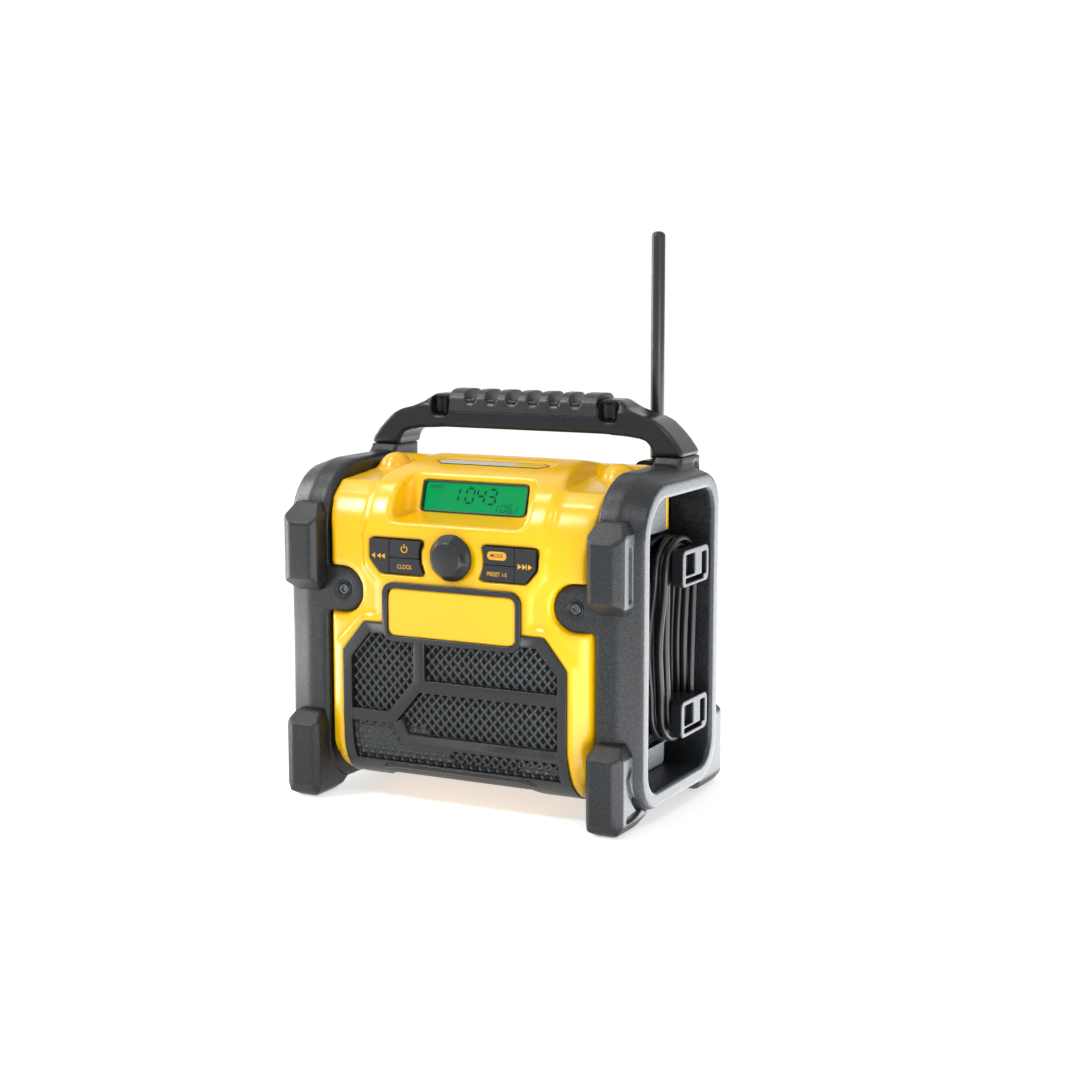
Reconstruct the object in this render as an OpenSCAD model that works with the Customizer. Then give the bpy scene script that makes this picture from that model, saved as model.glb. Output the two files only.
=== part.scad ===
// Jobsite radio: a moulded body with a speaker grille, display and keys, held between two
// caged side frames with rubber bumpers, under a bolted carrying handle.
// X runs across the front, Y from front to back and Z up. The origin is on the ground,
// midway between the frames and midway between the bumpers.

/* [Cage] */
// Overall width over the two side frames
cage_w = 260; // [250:1:280]
// Overall depth over the front and rear bumpers
cage_d = 171; // [167:1:190]
// Thickness of a side frame, measured across the radio
frame_t = 32; // [30:1:36]
// Width of the frame's bar, seen from the side
bar_w = 16; // [13:0.5:18]
// Height of the frame's top edge
frame_top = 225.5; // [222:0.5:230]
// Height of the frame's lower edge, which the bumpers lift off the ground
frame_low = 6.5; // [4:0.5:10]
// Set-back of the frame's front edge behind the bumpers
front_inset = 15.5; // [13:0.5:17]
// Set-back of the frame's rear edge behind the bumpers
rear_inset = 20.5; // [18:0.5:22]
// How far the frame's outer edges slope in
bar_slope = 6; // [3:0.5:8]

/* [Bumpers] */
// Width of a bumper
bumper_w = 26; // [22:1:28]
// Height of the lower bumpers' faces
low_bumper_h = 50; // [44:1:56]
// Height at which an upper bumper starts
high_bumper_z = 140; // [136:1:150]
// Height of an upper bumper
high_bumper_h = 59; // [50:1:62]
// Corner cut of a bumper
bumper_cut = 5; // [3:0.5:7]

/* [Body] */
// Height of the body's highest line
body_top = 228; // [226:0.5:232]
// Height of the body's underside
body_low = 14; // [12:0.5:18]
// Set-back of the console behind the bumpers
console_inset = 9.5; // [8:0.5:11]
// Set-back of the rear cover behind the bumpers
rear_cover_inset = 23.5; // [22:0.5:26]
// Wall thickness of the housings
wall = 3; // [2.5:0.1:3.6]
// How far the console and grille surround stand off the side sections
console_step = 2.6; // [1.5:0.1:3.5]
// Half-width of the console
console_half = 66; // [64:0.5:70]
// How far the shoulders beside the console lie below the top
shoulder_drop = 11; // [9:0.5:12]

/* [Display] */
// Width of the display opening
display_w = 78; // [70:1:82]
// Height of the display opening, along its slope
display_h = 21; // [18:0.5:22]
// Height of the display opening's lower edge
display_z = 194.8; // [193:0.2:197]
// Lean of the display
display_lean = 15.8; // [12:0.2:18]

/* [Controls] */
// Diameter of the tuning knob
knob_d = 31; // [28:0.5:33]
// Length of the tuning knob
knob_l = 9; // [8:0.5:12]
// Height of the knob's centre
knob_z = 169.5; // [168:0.5:171]
// Diameter of the knob's shaft
shaft_d = 6; // [5:0.5:6]
// Half-width over the keys
keys_half = 61.3; // [58:0.1:62]
// Radius that the keys leave free round the knob
keys_clear_r = 23.4; // [21:0.1:25]
// Height over the two rows of keys
keys_h = 22.8; // [20:0.1:24]
// Travel of a key and of the knob's push
key_travel = 1; // [0.6:0.1:1]

/* [Grille] */
// Width of the grille
grille_w = 164.6; // [158:0.2:168]
// Height of the grille's top edge
grille_top = 122.8; // [120:0.2:126]
// Depth of the speaker fields below the grille's rim
field_depth = 6; // [4:0.5:6]
// Width of the rim round the speaker fields
grille_rim = 6.2; // [5:0.2:8]
// Width of the raised bands
band_w = 8; // [6:0.5:10]
// Width of the name plate
plate_w = 94; // [86:1:98]
// Height of the name plate
plate_h = 31.5; // [28:0.5:33]

/* [Handle] */
// Height of the grip's highest line
handle_top = 270; // [266:0.5:276]
// Thickness of the grip bar
handle_t = 20; // [17:0.5:22]
// Depth of the handle, front to back
handle_d = 30; // [26:0.5:34]
// Distance of the handle's centre line in front of the frame's rear edge
handle_inset = 28; // [27:0.5:31]
// Length of the soft grip
grip_l = 112; // [100:1:114]
// Number of finger ribs
grip_ribs = 7; // [5:1:9]

/* [Antenna] */
// Diameter of the antenna's sleeve
mast_d = 9.2; // [8:0.2:10]
// Height of the antenna's tip
mast_top = 377.5; // [320:0.5:400]
// Distance of the antenna inside the frame's inner face
mast_inset = 19; // [18:0.5:24]

/* [Compartment] */
// Width of the battery compartment's mouth
bay_w = 112; // [100:1:116]
// Height of the battery compartment's mouth
bay_h = 104; // [96:1:108]
// Height of the battery compartment's floor
bay_z = 42; // [40:0.5:46]
// Depth of the battery compartment
bay_d = 36; // [32:0.5:38]
// Thickness of the compartment's door
door_t = 3.4; // [3:0.1:4]
// Diameter of the door's hinge pin
pin_d = 3; // [2.5:0.1:3.2]

/* [Lead] */
// Diameter of the mains lead
lead_d = 4.5; // [4.5:0.1:4.5]
// Width of a cord cleat's lip
cleat_w = 44; // [42:0.5:44]
// Height of a cord cleat's lip
cleat_h = 24.5; // [22:0.5:26]
// Thickness of a cord cleat's lip
cleat_t = 8; // [7:0.5:8]

/* [Hidden] */
$fn = 64;
black = "#2c2e30";
yellow = "#ffd41f";

fit = 0.3;                 // gap between a moving piece and its neighbour
run = 0.05;                // radial clearance of a running pin
eps = 0.01;                // overlap that makes a cut clean
far = 400;                 // a length beyond every piece

half_w = cage_w / 2;
frame_in = half_w - frame_t;               // inner face of a frame, and the body's side
bar_front = -(cage_d / 2 - front_inset);
bar_rear = cage_d / 2 - rear_inset;
face_y = -(cage_d / 2 - console_inset);    // the console's face
back_y = cage_d / 2 - rear_cover_inset;    // the rear cover's face
handle_y = bar_rear - handle_inset;
mast_x = frame_in - mast_inset;
seam_low = 30;                             // joint of the housings, below
seam_high = 38;                            // joint of the housings, above
seam_top = body_top - 13.5;                // top of that joint
seam_z = [150, 172];

// ---------- shared outlines ----------

// A 2D child drawn in (y, z) becomes a prism from x0 to x1.
module along_x(x0, x1)
    translate([x0, 0, 0]) rotate([90, 0, 90]) linear_extrude(x1 - x0) children();

// A 2D child drawn in (x, z) becomes a prism from y0 to y1.
module along_y(y0, y1)
    translate([0, y1, 0]) rotate([90, 0, 0]) linear_extrude(y1 - y0) children();

module both_sides() {
    children();
    mirror([1, 0, 0]) children();
}

// Two points on a Catmull-Rom curve between b and c.
function between(a, b, c, d, t) =
    0.5 * (2 * b + (c - a) * t + (2 * a - 5 * b + 4 * c - d) * t * t
    + (3 * b - a - 3 * c + d) * t * t * t);
function smooth(p, n) = concat([for (i = [0:len(p) - 2], k = [0:n - 1])
    between(p[max(i - 1, 0)], p[i], p[i + 1], p[min(i + 2, len(p) - 1)], k / n)],
    [p[len(p) - 1]]);

// A closed outline moved in by d, where the outline runs counter-clockwise.
function inset(p, d) = [for (i = [0:len(p) - 1])
    let (n = len(p), a = p[(i + n - 1) % n], b = p[i], c = p[(i + 1) % n],
        u = (b - a) / norm(b - a), v = (c - b) / norm(c - b),
        s = [-u[1], u[0]], t = [-v[1], v[0]])
    b + d * (s + t) / (1 + s * t)];
function shift(p, v) = [for (q = p) q + v];

// Rectangle with rounded corners: radii run from the low left corner, counter-clockwise.
module round_rect(x0, x1, y0, y1, r) {
    corners = [[x0, y0, 1, 1], [x1, y0, -1, 1], [x1, y1, -1, -1], [x0, y1, 1, -1]];
    difference() {
        translate([x0, y0]) square([x1 - x0, y1 - y0]);
        for (i = [0:3]) let (c = corners[i]) if (r[i] > 0)
            translate([c[0], c[1]]) scale([c[2], c[3]]) difference() {
                translate([-1, -1]) square(r[i] + 1);
                translate([r[i], r[i]]) circle(r[i]);
            }
    }
}

// Side view of the body's front and top, as offsets from the console's top and foot.
crown = smooth([[82, 0], [57, -3], [36, -8], [22, -13.5], [15, -19.5], [9, -28],
    [4, -38.5], [1, -52], [0, -68]], 4);
keel = smooth([[0, 48], [1, 31], [5, 17], [12, 7.5], [21, 2], [32, 0]], 4);
front_line = concat(shift(crown, [face_y, body_top]), shift(keel, [face_y, body_low]));
rear_line = [[seam_low, body_low], [seam_low, seam_z[0]], [seam_high, seam_z[1]],
    [seam_high, seam_top], [22, body_top - 3]];
shell_line = concat(front_line, rear_line);
// Side view of the shoulders beside the console, which then follow the front at a step.
shoulder_line = concat([[14, body_top - 4.5], [2, body_top - shoulder_drop + 0.5],
    [-19, body_top - shoulder_drop - 1], [face_y + 25, body_top - shoulder_drop - 4]],
    shift([for (q = front_line) if (q[1] < body_top - shoulder_drop - 10) q],
    [console_step, -console_step / 2]));
front_wall = wall + console_step;          // wall behind the console and the grille

module shell_profile(dy, dz) polygon(concat(shift(front_line, [dy, dz]), rear_line));

function flip(p) = [for (i = [len(p) - 1:-1:0]) [-p[i][0], p[i][1]]];
// Front view of the body: square shoulders, and flanks that draw in towards the feet.
top_corner = 9;
flank = shift(smooth([[-14, 0], [-9, 7], [-4.2, 20], [-1.2, 38], [0, 60]], 3),
    [frame_in, body_low]);
flanks = concat(flank, [[frame_in, body_top + 9]], flip(concat(flank,
    [[frame_in, body_top + 9]])));
module body_front(d) intersection() {
    polygon(inset(flanks, d));
    round_rect(-frame_in, frame_in, 0, body_top, [0, 0, top_corner, top_corner]);
}
// Hollow of the underside between the feet.
channel_h = 5.5;
floor_z = body_low + channel_h + wall;
module channel() along_y(-far, far) polygon([[-61, body_low - 1], [-61, body_low],
    [-51, body_low + channel_h], [51, body_low + channel_h], [61, body_low],
    [61, body_low - 1]]);

// Plan of the body: the upright front edges are rounded.
plan_r = 17;
module body_plan(d) round_rect(-frame_in + d, frame_in - d, face_y + d, back_y + d,
    [plan_r - d, plan_r - d, 0, 0]);

// Front view of the raised console and grille surround.
surround = grille_w / 2 + 6;
module raised_front() polygon([[-console_half + 9, body_top - 1],
    [-console_half + 3, body_top - 7], [-console_half - 1, body_top - 13],
    [-console_half - 1, 196], [-console_half, 160],
    [-console_half + 10, 148], [-console_half + 10, grille_top + 4],
    [-grille_w / 2 + 14, grille_top + 4], [-surround, grille_top - 17],
    [-surround, 30], [-surround - 4, body_low], [surround + 4, body_low], [surround, 30],
    [surround, grille_top - 17], [grille_w / 2 - 14, grille_top + 4],
    [console_half - 10, grille_top + 4], [console_half - 10, 148],
    [console_half, 160], [console_half + 1, 196], [console_half + 1, body_top - 13],
    [console_half - 3, body_top - 7], [console_half - 9, body_top - 1],
    [console_half - 15, body_top], [15 - console_half, body_top]]);

// ---------- display ----------

display_base = [face_y + 27.6, display_z];      // lower edge of the opening, in (y, z)
display_floor = 3.4;                            // wall behind the recess, along Y
module display_place() translate([0, display_base[0], display_base[1]])
    rotate([-display_lean, 0, 0]) children();
recess_half = display_w / 2 + 10.5;
recess_r = 9;
module display_recess() intersection() {
    along_x(-recess_half, recess_half) polygon([display_base + [-0.3, -0.6],
        display_base + [-18, -4.4], display_base + [-60, -10], display_base + [-60, 70],
        display_base + [-0.3 + 70 * tan(display_lean), 70]]);
    along_y(-far, far) round_rect(-recess_half, recess_half, display_z - 6,
        display_z + 24.5, [recess_r, recess_r, recess_r, recess_r]);
}

// ---------- keys ----------

key_gap = 0.5;
key_low = knob_z - 13.3;
key_top = key_low + keys_h;
key_split_x = 46;                       // between the outer key and the inner two
key_split_z = key_low + 10.9;           // between the two inner keys
key_face = face_y - 1;
key_flange = 1.2;
module keys_outline(c) difference() {
    polygon([[knob_d / 2, key_low - c], [keys_half - 7.6 + c / 2, key_low - c],
        [keys_half + c, key_low + 9.1 - c / 2], [keys_half + c, key_top + c],
        [knob_d / 2, key_top + c]]);
    translate([0, knob_z]) circle(keys_clear_r - c);
}
// One key's share of the outline: 0 outer, 1 upper inner, 2 lower inner.
module key_share(which, c) {
    g = key_gap / 2 - c;
    x0 = which == 0 ? key_split_x + g : 0;
    x1 = which == 0 ? far : key_split_x - g;
    z0 = which == 1 ? key_split_z + g : 0;
    z1 = which == 2 ? key_split_z - g : far;
    translate([x0, z0]) square([x1 - x0, z1 - z0]);
}
switch_h = 3.6;
board_t = 1.6;
board_y = face_y + 14;                 // front of the display board
key_posts = [[key_split_x + 8, knob_z + 1], [34, key_low + 17], [34, key_low + 5.4]];
board_half = keys_half + 9.2;
module key_shape(which) {
    intersection() {
        along_y(key_face, face_y + wall + fit + key_flange) keys_outline(-key_gap);
        along_y(-far, far) key_share(which, 0);
    }
    intersection() {
        along_y(face_y + wall + fit, face_y + wall + fit + key_flange) keys_outline(0.6);
        along_y(-far, far) key_share(which, 0);
    }
    p = key_posts[which];
    post_end = board_y - switch_h - key_travel - fit / 2;
    translate([p[0], post_end, p[1]]) rotate([90, 0, 0])
        cylinder(r = 2.4, h = post_end - face_y - wall - fit - eps);
}

// ---------- housings ----------

tab_z = 142;                            // height of the frames' front tabs
tab_x = frame_in - 12.6;
tab_r = 15.5;
tab_t = 4;
tab_face = bar_front;
tab_hole_r = 1.9;
module tab_outline(c) {
    translate([tab_x, tab_z]) circle(tab_r + c);
    translate([tab_x, tab_z - tab_r - c]) square([frame_in - tab_x + 2, 2 * (tab_r + c)]);
}

dome_r = 13;
dome_at = [frame_in - 13.5, -1, body_top - 13.5];
boss_r = 4;
cover_screw_at = [[frame_in - 14, body_low + 18], [frame_in - 14, seam_z[0]]];   // x, z
cover_boss_y = 24;                      // where the two housings' screw posts meet
cover_screw_r = 1.6;

module front_solid() intersection() {
    union() {
        along_x(-frame_in, frame_in) polygon(concat(shoulder_line, rear_line));
        intersection() {
            along_x(-frame_in, frame_in) shell_profile(0, 0);
            along_y(-far, far) raised_front();
        }
    }
    along_y(-far, far) body_front(0);
    translate([0, 0, -1]) linear_extrude(far) body_plan(0);
}

shoulder_inner = inset(concat(shoulder_line, rear_line), wall);
crown_n = len([for (q = shoulder_line) if (q[1] > 150) q]);
module front_cavity() intersection() {
    inner = inset(shell_line, front_wall);
    along_x(-frame_in + wall, frame_in - wall)
        polygon(concat([for (i = [0:len(front_line) - 1]) inner[i]],
            [[face_y + 40, body_low + wall], [seam_low + 1, body_low + wall],
            [seam_low + 1, seam_z[0]], [seam_high + 1, seam_z[1]],
            [seam_high + 1, seam_top - wall], [22, body_top - 3 - front_wall]]));
    // beside the console the cavity stays under the shoulders
    union() {
        translate([9 - console_half, -far / 2, 0]) cube([2 * console_half - 18, far, far]);
        along_x(-frame_in, frame_in) polygon(concat([for (i = [0:crown_n - 1])
            shoulder_inner[i]], [[face_y, 0], [far, 0], [far, shoulder_inner[0][1]]]));
    }
    along_y(-far, far) body_front(wall);
    translate([0, 0, -1]) linear_extrude(far) body_plan(wall);
    translate([-far / 2, -far / 2, floor_z]) cube([far, far, far]);
}

// Front view of the opening that the grille fills.
module grille_hole(c) {
    g = grille_w / 2 - 2.5 + c;
    polygon([[-g, hole_low - c], [-g, grille_top - 21], [-g + 16, grille_top - 2.5 + c],
        [g - 16, grille_top - 2.5 + c], [g, grille_top - 21], [g, hole_low - c]]);
}

board_boss = [[board_half - 3.8, 151], [board_half - 3.8, 180]];   // x, z of the board's posts
board_boss_r = 2.6;

module front_shell() color(yellow) {
    difference() {
        union() {
            difference() {
                front_solid();
                front_cavity();
            }
            // the walls stay full behind the keys, the display recess and the tabs
            intersection() {
                front_solid();
                union() {
                    along_x(-recess_half - wall, recess_half + wall)
                        polygon([display_base + [display_floor - 4 * tan(display_lean), -4],
                            display_base + [-40, -14], display_base + [-40, 30],
                            display_base + [display_floor + 30 * tan(display_lean), 30]]);
                    both_sides() along_y(face_y, tab_face + tab_t + wall)
                        tab_outline(wall);
                }
            }
            both_sides() difference() {
                translate(dome_at) sphere(dome_r);
                front_cavity();
            }
            both_sides() for (b = board_boss)
                translate([b[0], board_y, b[1]]) rotate([90, 0, 0])
                    cylinder(r = board_boss_r, h = board_y - face_y - front_wall / 2);
            both_sides() translate([tab_x, tab_face + tab_t + 16, tab_z]) rotate([90, 0, 0])
                cylinder(r = boss_r, h = 16);
            // posts for the rear cover's screws, each ribbed to the side wall
            intersection() {
                along_y(-far, far) body_front(wall / 2);
                both_sides() for (p = cover_screw_at) translate([p[0], cover_boss_y, p[1]]) {
                    rotate([90, 0, 0]) cylinder(r = boss_r, h = 24);
                    translate([0, -24, -wall / 2]) cube([frame_in - p[0], 24, wall]);
                }
            }
        }
        both_sides() along_y(-far, tab_face + tab_t) tab_outline(0.8);
        both_sides() translate([tab_x, tab_face + tab_t + 14.5, tab_z]) rotate([90, 0, 0])
            cylinder(r = tab_hole_r - 0.4, h = far);
        both_sides() for (p = cover_screw_at) translate([p[0], cover_boss_y + eps, p[1]])
            rotate([90, 0, 0]) cylinder(r = cover_screw_r, h = 20);
        channel();
        // the domes end at the side faces
        both_sides() translate([frame_in, -far / 2, 0]) cube([far, far, far]);
        // the domes are hollow
        both_sides() translate(dome_at) sphere(dome_r - wall);
        display_recess();
        display_place() translate([-display_w / 2, -10, 0])
            cube([display_w, 20, display_h]);
        display_place() translate([-display_w / 2 - window_lip - fit, window_y,
            -window_lip - fit]) cube([display_w + 2 * (window_lip + fit), 20,
                display_h + 2 * (window_lip + fit)]);
        both_sides() along_y(-far, far / 2) keys_outline(0);
        both_sides() along_y(face_y + wall, board_y) keys_outline(1.4);
        translate([0, board_y, knob_z]) rotate([90, 0, 0])
            cylinder(r = plunger_r + 0.7, h = 40);
        translate([0, face_y + 1.4, knob_z]) rotate([90, 0, 0])
            cylinder(d = knob_d + 3, h = 20);
        // rebate for the grille, and the opening behind it
        difference() {
            along_y(-far, far) grille_outline(0.15);
            skin(grille_rebate);
        }
        along_y(-far, face_y + 24) grille_hole(0);
        top_plate_seat(0.15);
        translate([-frame_in - 1, aux_y, aux_z]) rotate([0, 90, 0])
            cylinder(r = jack_r + fit, h = 2 * wall);
    }
}

// ---------- rear housing ----------

bay_front = back_y - bay_d;                 // the compartment's inner end
door_clear = 0.4;
lug_w = 9;
barrel_r = pin_d / 2 + 1.7;
hinge_y = back_y - barrel_r;
hinge_z = bay_z - barrel_r;
door_half = bay_w / 2 - 4;
rear_ribs = 5;

rear_outline = [[seam_low, body_low], [back_y - 8, body_low], [back_y, body_low + 8],
    [back_y, body_top - 34], [back_y - 6, body_top - 22], [seam_high, seam_top],
    [seam_high, seam_z[1]], [seam_low, seam_z[0]]];

module rear_block() difference() {
    intersection() {
        along_x(-frame_in, frame_in) polygon(rear_outline);
        along_y(-far, far) body_front(0);
    }
    channel();
}

module rear_shell() color(black) {
    difference() {
        union() {
            difference() {
                rear_block();
                intersection() {
                    along_x(-frame_in + wall, frame_in - wall) polygon([
                        [seam_low - 1, floor_z], [back_y - wall, floor_z],
                        [back_y - wall, body_top - 36],
                        [back_y - 8, body_top - 22 - wall], [seam_high - 1, seam_top - wall],
                        [seam_high - 1, seam_z[1]], [seam_low - 1, seam_z[0]]]);
                    along_y(-far, far) body_front(wall);
                }
            }
            // posts for the screws that join the housings
            both_sides() for (p = cover_screw_at) translate([p[0], back_y - 1, p[1]])
                rotate([90, 0, 0]) cylinder(r = boss_r, h = back_y - 1 - cover_boss_y);
            // lugs that carry the hinge pin
            both_sides() translate([door_half + door_clear, hinge_y - barrel_r - 1,
                hinge_z - barrel_r - 2]) cube([lug_w - door_clear, 2 * barrel_r + 0.9,
                    2 * barrel_r + 2.2]);
            // walls of the battery compartment
            translate([-bay_w / 2 - wall, bay_front - wall, bay_z - wall])
                cube([bay_w + 2 * wall, back_y - bay_front, bay_h + 2 * wall]);
            // posts that carry the main board
            both_sides() for (z = board_post_z)
                translate([board_post_x, bay_front - wall, z]) rotate([90, 0, 0])
                    cylinder(r = 3, h = bay_front - wall - main_board_y - board_t);
            // raised ribs over the cover
            both_sides() for (i = [0:rear_ribs - 1])
                translate([bay_w / 2 + 9, back_y - eps, bay_z + 16 + i * 18])
                    cube([frame_in - bay_w / 2 - 17, 1.2, 6]);
        }
        translate([-bay_w / 2, bay_front, bay_z]) cube([bay_w, far, bay_h]);
        // room for the door's barrel, and the pin through the two lugs
        translate([-door_half - door_clear, hinge_y - barrel_r - 0.5, hinge_z - barrel_r - 1.6])
            cube([2 * (door_half + door_clear), far, bay_z - hinge_z + barrel_r + 1.6 + eps]);
        translate([-door_half - lug_w + 3, hinge_y, hinge_z]) rotate([0, 90, 0])
            cylinder(d = pin_d, h = 2 * door_half + 2 * lug_w - 6);
        // keeper for the latch
        translate([-latch_w / 2 - fit, back_y - door_t - 3 - fit, bay_z + bay_h - eps])
            cube([latch_w + 2 * fit, tongue_t + 2 * fit, 2.4]);
        both_sides() for (p = cover_screw_at) translate([p[0], back_y + eps, p[1]])
            rotate([90, 0, 0]) {
                cylinder(r = 3.3, h = 2);
                cylinder(r = cover_screw_r + 0.2, h = far);
            }
        both_sides() translate([tab_x, back_y + eps, rear_tab_z]) rotate([90, 0, 0])
            cylinder(r = tab_hole_r - 0.4, h = 12);
    }
}

// ---------- grille ----------

grille_y = face_y - 0.8;                 // the rim's face
grille_rebate = console_step;            // depth of the rim's seat in the shell
grille_back = 7.5;                       // depth of the grille's body behind its face
grille_low = body_low + channel_h;       // lower edge between the feet
field_low = body_low + 15;
hole_low = field_low - 2.6;
band_top = grille_top - 36;              // upper edge of the middle band
band_low = grille_top - 73;              // upper edge of the lower band
field_half = grille_w / 2 - grille_rim;
stem_x = -20;                            // right side of the upright band
frame_over = 3.8;                        // margin of the frame round the name plate
plate_z = 115.5;
plate_frame_y = face_y - 2.6;

// Rim with two feet at its lower corners, grown by c.
module grille_outline(c) {
    g = grille_w / 2 + c;
    half = [[51, grille_low - c], [61, body_low - c], [g + 2.7, body_low - c], [g + 1, 30],
        [g, 50], [g, grille_top - 20 + c / 2], [g - 16, grille_top + c]];
    polygon(concat(half, flip(half)));
}
module field_outline() {
    f = field_half;
    polygon([[-f, field_low], [-f, grille_top - 24], [-f + 14, grille_top - 7],
        [f - 14, grille_top - 7], [f, grille_top - 24], [f, field_low]]);
}
// Centre lines of the raised bands, front view.
module band(p) for (i = [0:len(p) - 2]) let (a = p[i], b = p[i + 1], l = norm(b - a),
    q = atan2(b[1] - a[1], b[0] - a[0]))
    translate(a) rotate(q) {
        translate([0, -band_w / 2]) square([l, band_w]);
        translate([l, 0]) circle(band_w / 2);
    }
module bands() {
    h = band_w / 2;
    f = field_half + 1;
    band([[stem_x - h - 1, grille_top], [stem_x - h - 1, band_top - h + 2],
        [-46, band_low + 10], [-f, band_low + 10]]);
    band([[stem_x - h - 1, band_top - h], [f, band_top - h]]);
    band([[-42, band_low + 8], [-36, band_low - h], [f, band_low - h]]);
}
module skin(dy) along_x(-frame_in, frame_in) shell_profile(dy, 0);
module grille() color(black) difference() {
    union() {
        // rim, seated in the shell's rebate
        intersection() {
            difference() {
                skin(grille_y - face_y);
                skin(grille_rebate);
            }
            along_y(-far, far) grille_outline(0);
            translate([-far / 2, face_y - 5, 0]) cube([far, 36, far]);
        }
        // body, in the shell's opening
        intersection() {
            difference() {
                skin(grille_y - face_y);
                skin(grille_y - face_y + grille_back);
            }
            along_y(-far, far) grille_hole(-fit);
        }
        // frame round the name plate
        along_y(plate_frame_y, face_y) round_rect(-plate_w / 2 - frame_over,
            plate_w / 2 + frame_over, plate_z - frame_over, plate_z + plate_h + frame_over,
            [8, 8, 8, 8]);
        // flat seats for the speakers
        both_sides() translate([speaker_x, speaker_y, speaker_z]) rotate([90, 0, 0])
            difference() {
                cylinder(r = speaker_r, h = speaker_y - grille_y - grille_back + 1);
                translate([0, 0, -1]) cylinder(r = speaker_r - 4, h = far);
            }
    }
    difference() {
        intersection() {
            difference() {
                skin(-20);
                skin(grille_y - face_y + field_depth);
            }
            along_y(-far, far) field_outline();
        }
        along_y(-far, far) round_rect(-plate_w / 2 - frame_over, plate_w / 2 + frame_over,
            plate_z - frame_over, plate_z + plate_h + frame_over, [8, 8, 8, 8]);
        intersection() {
            skin(grille_y - face_y + 0.8);
            along_y(-far, far) bands();
        }
    }
    // seat of the name plate
    along_y(-far, face_y) name_outline(0.15);
}

module name_outline(c) round_rect(-plate_w / 2 - c, plate_w / 2 + c, plate_z - c,
    plate_z + plate_h + c, [5, 5, 5, 5]);
module name_plate() color(yellow) along_y(face_y - 1.4, face_y) name_outline(0);

// Bare plate set into the top.
top_plate_w = 84;
top_plate_y = face_y + 57;
module top_plate_seat(c) translate([0, top_plate_y, body_top - 4.2]) rotate([7.5, 0, 0])
    translate([-top_plate_w / 2 - c, -c, -c]) cube([top_plate_w + 2 * c, 12 + 2 * c, 12]);
module top_plate() color("silver") translate([0, top_plate_y, body_top - 4.2])
    rotate([7.5, 0, 0]) translate([-top_plate_w / 2, 0, 0]) cube([top_plate_w, 12, 1.4]);

// ---------- display and controls ----------

window_t = 1.5;
window_lip = 3;
window_y = display_floor * cos(display_lean);
module display_window() color("#bfe8d2", 0.5) display_place()
    translate([-display_w / 2 - window_lip, window_y, -window_lip])
        cube([display_w + 2 * window_lip, window_t, display_h + 2 * window_lip]);
module display_module() color("#00a95c") display_place()
    translate([-display_w / 2 - window_lip, window_y + window_t, -window_lip])
        cube([display_w + 2 * window_lip, 6, display_h + 2 * window_lip]);

module seek_down_key() color(black) mirror([1, 0, 0]) key_shape(0);
module power_key() color(black) mirror([1, 0, 0]) key_shape(1);
module clock_key() color(black) mirror([1, 0, 0]) key_shape(2);
module mode_key() color(black) key_shape(1);
module preset_key() color(black) key_shape(2);
module seek_up_key() color(black) key_shape(0);

knob_back = face_y;
knob_face = knob_back - knob_l;
flutes = 9;
plunger_r = shaft_d / 2 + 1.5;
module knob() color(black) difference() {
    translate([0, knob_back, knob_z]) rotate([90, 0, 0]) {
        cylinder(d = knob_d, h = 3.4);
        translate([0, 0, 3.4]) cylinder(d1 = knob_d, d2 = knob_d - 5, h = knob_l - 3.4);
    }
    for (i = [0:flutes - 1]) translate([0, knob_back - 2, knob_z])
        rotate([0, i * 360 / flutes + 14, 0]) translate([knob_d / 2 + 2.4, 0, 0])
            rotate([90, 0, 0]) cylinder(r = 4.2, h = far);
    translate([0, knob_back + eps, knob_z]) rotate([90, 0, 0])
        cylinder(d = shaft_d, h = knob_l - 2 + eps);
}
module encoder_shaft() color("silver") translate([0, board_y - 1, knob_z])
    rotate([90, 0, 0]) cylinder(d = shaft_d, h = board_y - 1 - knob_face - 2);
module encoder_plunger() color("silver") difference() {
    translate([0, face_y + 8.6, knob_z]) rotate([90, 0, 0])
        cylinder(r = plunger_r - 2 * run, h = 6);
    translate([0, far / 2, knob_z]) rotate([90, 0, 0]) cylinder(r = shaft_d / 2 + run, h = far);
}
encoder_w = 13;
module encoder_body() color("#3a3f45") difference() {
    translate([-encoder_w / 2, face_y + 7.2, knob_z - encoder_w / 2])
        cube([encoder_w, board_y - face_y - 7.2, encoder_w]);
    translate([0, board_y - 1.5, knob_z]) rotate([90, 0, 0]) cylinder(r = plunger_r, h = 20);
    translate([0, board_y, knob_z]) rotate([90, 0, 0]) cylinder(r = shaft_d / 2 + run, h = 20);
}

module display_board() color("darkgreen") difference() {
    union() {
        translate([-board_half, board_y, 146.5]) cube([2 * board_half, board_t, 38]);
        both_sides() for (p = key_posts) translate([p[0] - 3, board_y - switch_h, p[1] - 3])
            cube([6, switch_h, 6]);
        translate([-16, board_y + board_t, 150]) cube([32, 5, 7]);
    }
    translate([0, board_y + 0.5, knob_z]) rotate([90, 0, 0])
        cylinder(r = shaft_d / 2 + 0.4, h = 5);
}

main_board_y = 4;
board_post_x = 50;
board_post_z = [bay_z + bay_h - 14, bay_z + 40];
module main_board() color("darkgreen") {
    translate([-72, main_board_y, 70]) cube([144, board_t, 100]);
    translate([-60, main_board_y - 9, 120]) cube([24, 9, 18]);
    translate([10, main_board_y - 3, 110]) cube([16, 3, 16]);
    for (i = [0:2]) translate([-20 + i * 14, main_board_y, 152]) rotate([90, 0, 0])
        cylinder(r = 5, h = 13);
    translate([40, main_board_y - 12, 84]) cube([26, 12, 4]);
}

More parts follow.
